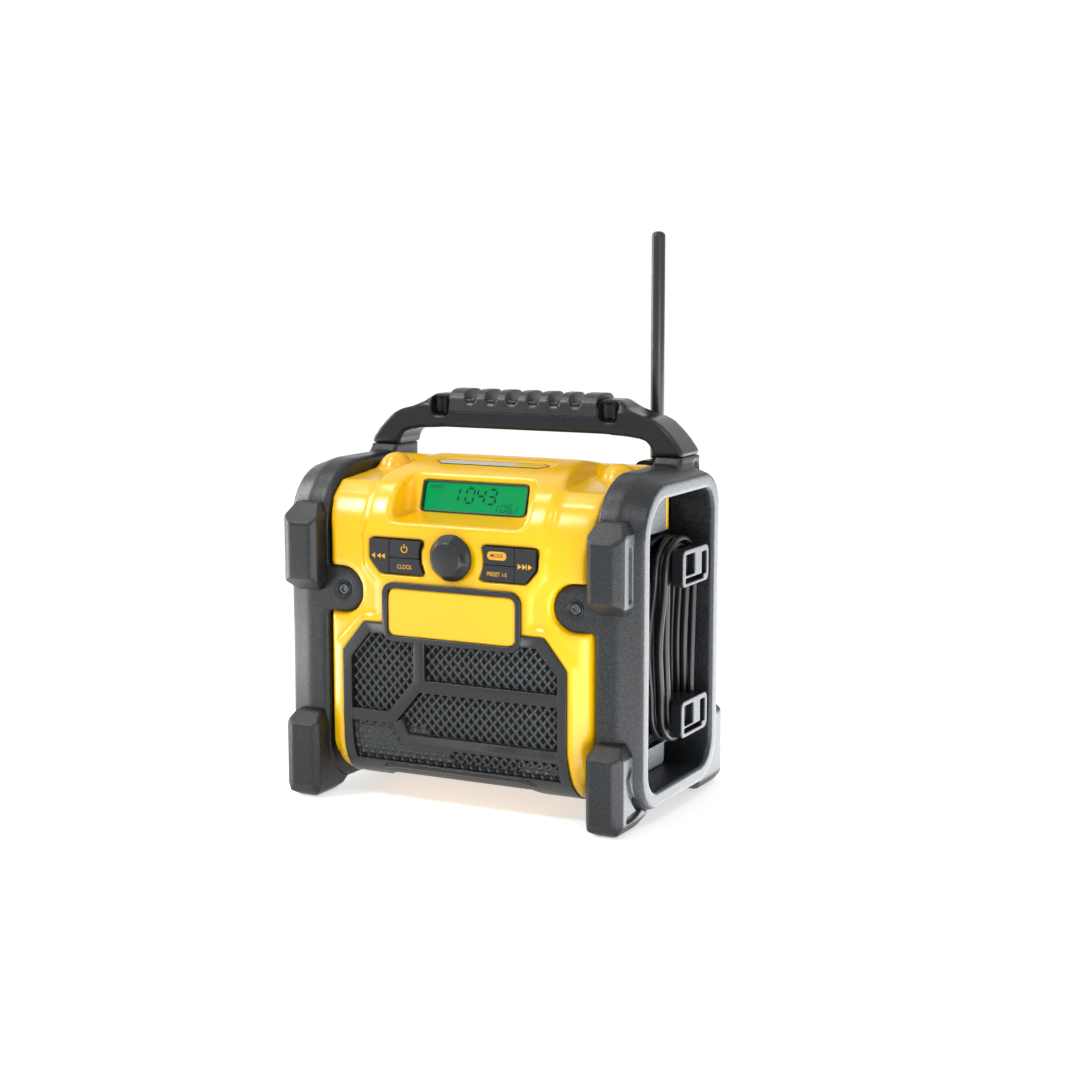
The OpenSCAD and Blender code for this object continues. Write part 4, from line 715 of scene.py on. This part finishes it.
lit_green = lit_cell("backlit_crystal_green", "#03a75b", 1.15)
dark_cell = lit_cell("switched_crystal_cell", "#073f27", 0.6)
moulded("display_module", "display", lit_green)
# Clear acrylic: free of colour, polished, bloomed against glare, so that it shows only as a
# faint shine over the figures.
acrylic, window_tree, clear = new_material("clear_cast_acrylic")
film = noise(window_tree, 12, 4)
wire(clear, {"IOR": 1.49, "Alpha": 0.12,
             "Base Color": blend(window_tree, film, linear("#0b1a13"), linear("#10241b")),
             "Roughness": remap(window_tree, film, 0, 1, 0.04, 0.1)})
moulded("display_window", "window", acrylic)

# bezel: a black sleeve in the opening, its inner corners well rounded
BEZEL_DEPTH = 3
bezel = bmesh.new()
for inward, corner in ((0.1, 0.3), (1.0, 2.4)):
    panel(bezel, DISPLAY_W - 2 * inward, DISPLAY_H - 2 * inward, 0, DISPLAY_H / 2, corner, 5)
ops.delete(bezel, geom=bezel.faces[:], context="FACES_ONLY")
ops.bridge_loops(bezel, edges=bezel.edges[:])
sunk = ops.extrude_face_region(bezel, geom=bezel.faces[:])
ops.translate(bezel, vec=(0, 0, -BEZEL_DEPTH), verts=verts_of(sunk))
ops.recalc_face_normals(bezel, faces=bezel.faces)
add_piece("display_bezel", on_display(bezel, 0.2), "black_plastic", black_abs)

# seven-bar figures: each bar's place across (from -1 to 1) and up (from 0 to 2), upright or not
BARS = {"a": (0, 2, 0), "b": (1, 1.5, 1), "c": (1, 0.5, 1), "d": (0, 0, 0), "e": (-1, 0.5, 1),
        "f": (-1, 1.5, 1), "g": (0, 1, 0)}
FIGURES = {"0": "abcdef", "1": "bc", "3": "abcdg", "4": "bcfg", "6": "acdefg"}
SLANT, CELL_DEPTH = 0.14, 3.2


def figures(text, left, low, wide, high, thick, step):
    """Seven-bar figures, slanted a little; each bar is a long hexagon."""
    drawing = bmesh.new()
    place = -1
    for figure in text:
        place += figure != "."
        for bar in FIGURES.get(figure, ""):
            side, level, upright = BARS[bar]
            shape = ops.create_circle(drawing, cap_ends=True, segments=6, radius=1)["verts"]
            reach = (high / 2 if upright else wide) - thick * 0.7
            ops.scale(drawing, vec=(thick / 1.73, reach / 2, 1), verts=shape)
            x = left + place * step + wide / 2 + side * wide / 2
            if figure == "1":           # stands in the middle of its place
                x -= wide * 0.5
            ops.transform(
                drawing, matrix=Matrix.Translation((x, low + level * high / 2, 0))
                @ Matrix.Rotation(0 if upright else pi / 2, 4, "Z"), verts=shape)
        if figure == ".":
            dot = ops.create_circle(drawing, cap_ends=True, segments=6, radius=thick * 0.6)
            x = left + (place + 1) * step - (step - wide) / 2
            ops.translate(drawing, vec=(x, low, 0), verts=dot["verts"])
    for vert in drawing.verts:
        vert.co.x += SLANT * (vert.co.y - low)
    return drawing


def lettering(text, high, wide=1.0):
    """Plain capitals as a flat mesh, centred."""
    curve = bpy.data.curves.new(text, "FONT")
    curve.body = text
    curve.size = high * 1.4             # a capital is 1 / 1.4 of the type's size
    curve.align_x, curve.align_y = "CENTER", "CENTER"
    curve.offset = 0.03
    mesh = as_mesh(curve)
    mesh.transform(Matrix.Scale(wide, 4, (1, 0, 0)))
    return mesh


stereo_word = lettering("STEREO", 2.2, 0.9)
stereo_word.transform(Matrix.Translation((-29.5, 16.8, 0)))
for name, drawing in (
        ("clock_figures", figures("1043", -16.5, 7.4, 5.6, 9.8, 1.35, 8.2)),
        ("station_figures", figures("106.1", 14.3, 2.4, 3.0, 5.4, 0.75, 4.7)),
        ("stereo_sign", stereo_word)):
    add_piece(name, on_display(drawing, CELL_DEPTH), "display", dark_cell)

# ----------------------------
# Keys: six soft silicone keys in two groups, legends printed in amber ink.
# ----------------------------
# Silicone keypad: dull and soft, faintly dusty.
key_rubber = finish("moulded_key_silicone", "#1b1d20", "#3a3d40", 0.5, 1.43, grain=(0.7, 0.01),
                    edge=(0.5, 0.2))
# Printed legend: matt amber screen ink.
ink = finish("amber_screen_ink", "#e0a52c", "#e8b850", 0.6, 1.5, grain=(0.5, 0.004),
             edge=(0.05, 0))
KEY_FACE_Y = -77
for key in ("seek_down", "power", "clock", "mode", "preset", "seek_up"):
    moulded(key + "_key", "key_rubber", key_rubber, key, edge_mm=0.4)


def print_on_key(name, drawing, x, z, body, material=ink, lift=0.03):
    """Prints a flat drawing at (x, z) on a key's face."""
    add_piece(name, seat(drawing, (x, KEY_FACE_Y - lift, z), FORWARD), "key_rubber", material,
              body=body)


def arrows(direction, bar_at=None):
    """A row of three small triangles, the last a little apart, and a bar where asked for."""
    drawing = bmesh.new()
    for x in (-3.2, 0, 4.2):
        tip = ops.create_circle(drawing, cap_ends=True, segments=3, radius=1)["verts"]
        ops.rotate(drawing, matrix=Matrix.Rotation(-direction * pi / 2, 3, "Z"), verts=tip)
        ops.scale(drawing, vec=(1.9, 2.1, 1), verts=tip)
        ops.translate(drawing, vec=(direction * x, 0, 0), verts=tip)
    if bar_at is not None:
        panel(drawing, 0.55, 3.6, direction * bar_at)
    ops.recalc_face_normals(drawing, faces=drawing.faces)
    return drawing


def power_mark(outer, inner, gap_deg):
    """A thin ring, open at the top over gap_deg, with a short bar in the opening."""
    drawing = bmesh.new()
    start = radians(90 + gap_deg / 2)
    ends = [drawing.verts.new((r * cos(start), r * sin(start), 0)) for r in (inner, outer)]
    ops.spin(drawing, geom=[*ends, drawing.edges.new(ends)], cent=(0, 0, 0),
             axis=(0, 0, 1), angle=2 * pi - radians(gap_deg), steps=28)
    panel(drawing, outer - inner, outer * 1.1, 0, outer * 0.75)
    for face in drawing.faces:
        if face.normal.z < 0:
            face.normal_flip()
    return drawing


print_on_key("seek_down_legend", arrows(-1), -53.2, 167.6, "seek_down")
print_on_key("seek_up_legend", arrows(1, bar_at=1.9), 52.6, 167.4, "seek_up")
print_on_key("power_legend", power_mark(2.5, 1.8, 70), -34.5, 173, "power")
print_on_key("clock_legend", lettering("CLOCK", 2.8, 0.85), -34.5, 161.2, "clock")
print_on_key("preset_legend", lettering("PRESET 1-5", 2.7, 0.8), 33.5, 161.2, "preset")
pill = bmesh.new()
panel(pill, 13.8, 5.4, corner=2.6, segments=6)
print_on_key("mode_pill", pill, 33.5, 173.2, "mode")
print_on_key("mode_legend", lettering("MODE", 2.4, 0.95), 33.5, 173.2, "mode", key_rubber, 0.06)


# ----------------------------
# Tuning knob: fluted ABS cap pressed on the encoder's steel shaft.
# ----------------------------
def swept(points, closed, **spin):
    """Draws a line through the points, an open or a closed one, sweeps it as the spin says,
    and fills the ends."""
    drawing = bmesh.new()
    line = [drawing.verts.new(point) for point in points]
    after = line[1:] + line[:1] if closed else line[1:]
    edges = [drawing.edges.new(pair) for pair in zip(line, after)]
    ops.spin(drawing, geom=line + edges, cent=(0, 0, 0), **spin)
    ops.holes_fill(drawing, edges=[e for e in drawing.edges if e.is_boundary], sides=0)
    ops.recalc_face_normals(drawing, faces=drawing.faces)
    for face in drawing.faces:
        face.smooth = True
    return drawing


TURNED = {"axis": (0, 0, 1), "angle": 2 * pi, "use_merge": True}
KNOB_Z, KNOB_BACK, FLUTES = 169.5, -76, 8
# side view from the back rim to the middle of the front: (radius, distance in front)
KNOB_SIDE = [(13, 0), (13.6, 0), (15.2, 0.7), (15.5, 1.1), (15.4, 1.7), (15, 2.6), (14.4, 3.6),
             (13.7, 4.6), (13, 5.6), (12.2, 6.6), (11.4, 7.6), (10.6, 8.5), (10.2, 8.9),
             (9.8, 9), (0.5, 9)]
knob = swept([(r, 0, y) for r, y in KNOB_SIDE], False, steps=128, **TURNED)
FLUTE_R, FLUTE_FROM, FLUTE_LONG = 10.3, 0.6, 8
for vert in knob.verts:
    r, y = vert.co.xy.length, vert.co.z
    if r > FLUTE_R and y > FLUTE_FROM:
        # shallow hollows for the fingers, between crisp ridges
        hollow = abs(sin(FLUTES / 2 * (atan2(vert.co.y, vert.co.x) + 0.25))) ** 0.6
        vert.co.xy *= 1 - hollow * sin(pi * min(1, (y - FLUTE_FROM) / FLUTE_LONG)) / r
tuning_knob = add_piece("fluted_knob", seat(knob, (0, KNOB_BACK, KNOB_Z), FORWARD),
                        "black_plastic", black_abs, body="tuning_knob")
tuning_knob.data.set_sharp_from_angle(angle=radians(45))
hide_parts("knob")

# ----------------------------
# Cage: a side frame each side, glass-filled nylon with a coarse moulded grain, and bumpers
# of softer rubber moulded round its front and rear bars. The outermost side faces are smoother
# and painted pale, a painted reflection of the light at the side.
# ----------------------------
# Glass-filled nylon: dark grey, coarse grain 1.5 mm across, its peaks painted much lighter as
# painted glints.
frame_nylon = finish("moulded_nylon_grained", "#191c1f", "#5a5e62", 0.36, 1.53, grain=(1.5, 0.16),
                     edge=(2.4, 0.45), peak_glint=1.1, shine=0.36, sheen_x_mm=129.4)
# Moulded rubber of the bumpers: dull, finely pitted, its grain's peaks painted much lighter as
# painted glints; edges painted pale, partly scuffs and partly a painted edge highlight.
bumper_rubber = finish("moulded_bumper_rubber", "#191c1f", "#565a5e", 0.38, 1.52,
                       grain=(1.4, 0.16), edge=(2.2, 0.4), peak_glint=1.1, shine=0.36, sheen_x_mm=124)
# Nylon of the cord cleats: darker and smoother than the frame; edges painted paler, partly
# rubbing by the lead and partly a painted edge highlight.
cleat_nylon = finish("moulded_nylon_cleat", "#15171a", "#505458", 0.34, 1.53, grain=(1.2, 0.03),
                     edge=(0.9, 0.3), shine=0.3, sheen_x_mm=128.6, painted_sheen="#4e5257")
# ABS of the side panels: dark; its outer face is painted pale grey, a painted reflection of the
# light at the side.
panel_abs = finish("moulded_abs_panel", "#15171a", "#505458", 0.34, 1.54, grain=(1.4, 0.05),
                   edge=(1.2, 0.3), shine=0.4, sheen_x_mm=103.4, painted_sheen="#9da2a7", sheen_rough=0.2)
SIDES = (("left", -1), ("right", 1))
for side, way in SIDES:
    softened(side + "_frame", "black_plastic", frame_nylon, 1.3, 6)
    for bumper in ("_front_upper_bumper", "_front_lower_bumper", "_rear_bumper"):
        softened(side + bumper, "bumper_rubber", bumper_rubber, 0.75, 9)
    moulded(side + "_side_panel", "black_plastic", panel_abs)
for cleat in ("upper_cleat", "lower_cleat"):
    softened(cleat, "black_plastic", cleat_nylon, 0.6, 6)


def block(size, corner):
    """A block about the origin with rounded edges."""
    drawing = bmesh.new()
    ops.create_cube(drawing, size=1)
    ops.scale(drawing, vec=size, verts=drawing.verts)
    ops.bevel(drawing, geom=drawing.edges[:], offset=corner, segments=3, profile=0.5,
              affect="EDGES")
    return drawing


# Closed-cell foam: a dull black strip squeezed between each side frame and the rear cover's
# lower corner.
foam = finish("closed_cell_foam", "#0d0e0f", "#1c1d1f", 0.9, 1.45, grain=(0.8, 0.1),
              edge=(0.5, 0.1), shine=0.2)
for side, way in SIDES:
    add_piece(side + "_foam_strip", seat(block((2.6, 22, 10), 0.8), (way * 98.3, 48, 27.5)),
              "grip_rubber", foam)
# a raised edge of the yellow housing, which shows behind each side panel
for side, way in SIDES:
    add_piece(side + "_flank_rib", seat(block((6.4, 4.6, 32), 0.9), (way * 100.6, 32.6, 197)),
              "yellow_plastic", yellow_abs)


def next_ring(drawing, ring_edges):
    """Extrudes a ring of edges on the spot: the new corners, and the edges between them."""
    made = ops.extrude_edge_only(drawing, edges=ring_edges)
    ring = verts_of(made)
    return ring, [g for g in made["geom"] if isinstance(g, bmesh.types.BMEdge)
                  and all(v in ring for v in g.verts)]


def star_screw(radius, thick, star):
    """A pan head with a six-pointed star recess, facing up, its underside at z = 0."""
    head = bmesh.new()
    ops.create_circle(head, cap_ends=False, segments=24, radius=star)
    for vert in head.verts:
        vert.co.xy *= 1 + 0.16 * cos(6 * atan2(vert.co.y, vert.co.x))
        vert.co.z = thick
    rim = head.edges[:]
    bottom, bottom_edges = next_ring(head, rim)
    ops.translate(head, vec=(0, 0, -thick * 0.65), verts=bottom)
    ops.contextual_create(head, geom=bottom_edges)
    last = rim
    for out, up in ((0.8, 1), (0.94, 0.88), (1, 0.6), (1, 0)):  # shares of radius and height
        ring, last = next_ring(head, last)
        for vert in ring:
            vert.co = vert.co.xy.normalized().to_3d() * radius * out
            vert.co.z = thick * up
    ops.contextual_create(head, geom=last)
    ops.recalc_face_normals(head, faces=head.faces)
    return head


# Phosphated steel: dark grey, oily satin.
dark_steel = finish("phosphated_steel", "#4e5256", "#9ca0a4", 0.2, 1.5, grain=(0.5, 0.01),
                    edge=(0.4, 0.6), metal=1)


def screws(name, radius, thick, star, seats, replaced):
    """Heads at (x, y, z), facing forward (-1) or rearward (1), as one piece."""
    whole, turned = bmesh.new(), bpy.data.meshes.new("head")
    for *place, facing in seats:
        head = seat(star_screw(radius, thick, star), place,
                    Matrix.Rotation(-facing * pi / 2, 4, "X"))
        head.to_mesh(turned)
        head.free()
        whole.from_mesh(turned)
    bpy.data.meshes.remove(turned)
    piece = add_piece(name, whole, "steel", dark_steel)
    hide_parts(replaced)


TAB_SCREW = (85.4, 142)                 # mm, x and z of each front tab's screw
screws("tab_screw_heads", 3.8, 1.8, 2.0,
       [(s * TAB_SCREW[0], y, z, f) for s in (-1, 1)
        for y, z, f in ((-68, TAB_SCREW[1], -1), (66, 178, 1))], "tab_screws")
# a raised rim round each front screw's seat
RIM_R, RIM_THICK = 5.2, 0.55            # mm, and the rim's section is a ring of ten corners
section = [(RIM_R + RIM_THICK * sin(2 * pi * k / 10), 0, RIM_THICK * cos(2 * pi * k / 10))
           for k in range(10)]
for side, way in SIDES:
    rim = swept(section, True, steps=40, **TURNED)
    seat(rim, (way * TAB_SCREW[0], -69.9, TAB_SCREW[1]), FORWARD)
    add_piece(side + "_screw_rim", rim, "black_plastic", black_abs)
screws("cover_screw_heads", 3, 1.7, 1.3,
       [(s * 84, 60, z, 1) for s in (-1, 1) for z in (32, 186)], "cover_screws")

# ----------------------------
# Handle: one nylon moulding, its bar well rounded for the hand, bolted to both frames from
# below, with a ribbed grip of soft rubber moulded over its middle.
# ----------------------------
# Nylon of the handle: black, nearly smooth, polished by hands.
handle_nylon = finish("moulded_nylon_handle", "#14171a", "#484c50", 0.22, 1.53, grain=(1.2, 0.02),
                      edge=(4.0, 0.3), peak_glint=0.15, shine=0.32)
softened("handle", "black_plastic", handle_nylon, 1.1, 12)
# Thermoplastic rubber of the grip: soft, dull, painted a little paler on its rib crests and
# edges, partly wear and partly a painted highlight.
grip_rubber = finish("overmoulded_grip_rubber", "#1b1e21", "#4a4d50", 0.36, 1.5, grain=(0.9, 0.03),
                     edge=(1.2, 0.4))
# Inside the pockets at the grip's ends: a matt near-black lining, a painted shade standing in for
# the shade deep in the pockets.
pocket_shade = finish("painted_pocket_shade", "#0a0b0c", "#1c1e20", 0.85, 1.53, grain=(1.4, 0.1),
                      edge=(0.3, 0.1), shine=0.2)
# a lining tray in each pocket, painted shade
for side, way in SIDES:
    tray = bmesh.new()
    ops.create_cube(tray, size=1)
    ops.delete(tray, geom=[f for f in tray.faces if f.normal.y < -0.9], context="FACES")
    ops.scale(tray, vec=(11.6, 8.6, 12.1), verts=tray.verts)
    along = [e for e in tray.edges if abs(e.verts[0].co.y - e.verts[1].co.y) > 1]
    ops.bevel(tray, geom=along, offset=2.8, segments=4, profile=0.5, affect="EDGES")
    ops.solidify(tray, geom=tray.faces[:], thickness=-0.4)
    ops.recalc_face_normals(tray, faces=tray.faces)
    add_piece(side + "_grip_pocket_shade", seat(tray, (way * 64, 25.8, 258.7)), "black_plastic",
              pocket_shade)
GRIP_HALF, RIB_PITCH, GRIP_END = 56, 16, 7
# section of the sleeve round the bar: (y, z) from the front's low edge over the top
SLEEVE = [(22, 255), (22, 258), (22, 261), (22.2, 263.2), (23, 265.2), (24.4, 267),
          (26.4, 268.5), (29, 269.5), (33, 270), (37, 270), (41, 270), (45, 269.5),
          (47.6, 268.5), (49.6, 267), (51, 265.2), (51.8, 263.2), (52, 261), (52, 258),
          (52, 255), (50.6, 255), (50.6, 263.5), (23.4, 263.5), (23.4, 255)]
grip = swept([(-GRIP_HALF, y, z) for y, z in SLEEVE], True, axis=(1, 0, 0), angle=0,
             dvec=(1, 0, 0), steps=2 * GRIP_HALF)
for vert in grip.verts:
    x, y, z = vert.co
    if abs(x) < GRIP_HALF - GRIP_END and (z > 263.6 or not 23 < y < 51):    # the outside
        valley = ease(0.3, 0.8, 0.5 + 0.5 * cos(2 * pi * (x + RIB_PITCH / 2) / RIB_PITCH))
        # the valleys are deepest on top and run out down the sides
        deep = (1.2 + 3.2 * ease(261, 267, z)) * valley * ease(258.5, 262.5, z)
        vert.co -= Vector((0, y - 37, (z - 257) * 1.4)).normalized() * deep
sleeve = add_piece("ribbed_sleeve", seat(grip, (0, 0, 0)), "grip_rubber", grip_rubber)
sleeve.data.set_sharp_from_angle(angle=radians(40))
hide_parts("handle_grip")

# ----------------------------
# Antenna: a black lacquered steel rod on a nylon knuckle, turning on a steel pin.
# ----------------------------
# Lacquer on steel: smooth satin black, hardly worn.
rod_paint = finish("black_lacquered_steel", "#17191b", "#3a3d40", 0.3, 1.5, grain=(2, 0.003),
                   edge=(0.1, 0.1))
mast_low, mast_high = (Vector(corner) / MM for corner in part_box("antenna_mast"))
mast_r, mast_long = (mast_high.x - mast_low.x) / 2, mast_high.z - mast_low.z
# side view from the middle of the rounded tip down to the foot: (share of radius, below tip)
MAST_SIDE = [(0.02, 0), (0.3, 0.1), (0.55, 0.45), (0.75, 1.0), (0.9, 1.8), (0.98, 2.7),
             (1, 3.6), (1, 60), (1, mast_long - 1), (0.91, mast_long)]
mast = swept([(share * mast_r, 0, -below) for share, below in MAST_SIDE], False, steps=40,
             **TURNED)
middle = (mast_low + mast_high) / 2
rod = add_piece("antenna_rod", seat(mast, (middle.x, middle.y, mast_high.z)), "black_plastic",
                rod_paint, body="antenna")
rod.data.set_sharp_from_angle(angle=radians(50))
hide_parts("antenna_mast")
moulded("antenna_knuckle", "black_plastic", black_abs, "antenna")

# ----------------------------
# Rear door and fittings: an ABS door on a plated pin, with a sliding latch. The boards,
# speakers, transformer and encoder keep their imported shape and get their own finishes.
# ----------------------------
moulded("bay_door", "black_plastic", black_abs, "door")
moulded("door_latch", "black_plastic", black_abs, "latch")
# Zinc-plated steel: pale, lightly mottled, satin.
steel = finish("zinc_plated_steel", "#8d9093", "#c0c2c4", 0.35, 1.5, grain=(0.6, 0.01),
               edge=(0.2, 0.4), metal=1)
# Glass-epoxy board under green solder resist: glossy, faintly woven.
board_resist = finish("green_resist_board", "#0f4a2c", "#3a7a55", 0.3, 1.55, grain=(0.6, 0.02),
                      edge=(0.3, 0.2))
# Varnished steel laminations: brown-grey, streaked by their edges.
lamination = finish("varnished_steel_laminations", "#4b4640", "#8a857c", 0.45, 1.5,
                    grain=(0.8, 0.05), edge=(0.4, 0.5))
# Pressed paper pulp of the cones: black, fibrous, quite matt.
cone_paper = finish("pressed_paper_cone", "#141413", "#2c2b29", 0.85, 1.45, grain=(1.2, 0.12),
                    edge=(0.5, 0.2), shine=0.3)
# Blackened sheet steel of the speaker baskets: thin satin paint over metal.
basket = finish("black_painted_basket", "#1b1c1e", "#6a6d70", 0.4, 1.5, grain=(0.9, 0.02),
                edge=(0.5, 0.6))
for node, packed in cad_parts.items():
    if not packed.hide_render and node not in ("plug", "strain_relief"):
        dress(black_abs, node)
dress(steel, "handle_screws", "hinge_pin", "antenna_pin", "encoder_shaft", "encoder_plunger")
dress(board_resist, "display_board", "main_board")
dress(lamination, "transformer")
dress(cone_paper, "speaker_cones")
dress(basket, "speaker_left", "speaker_right", "encoder_body")
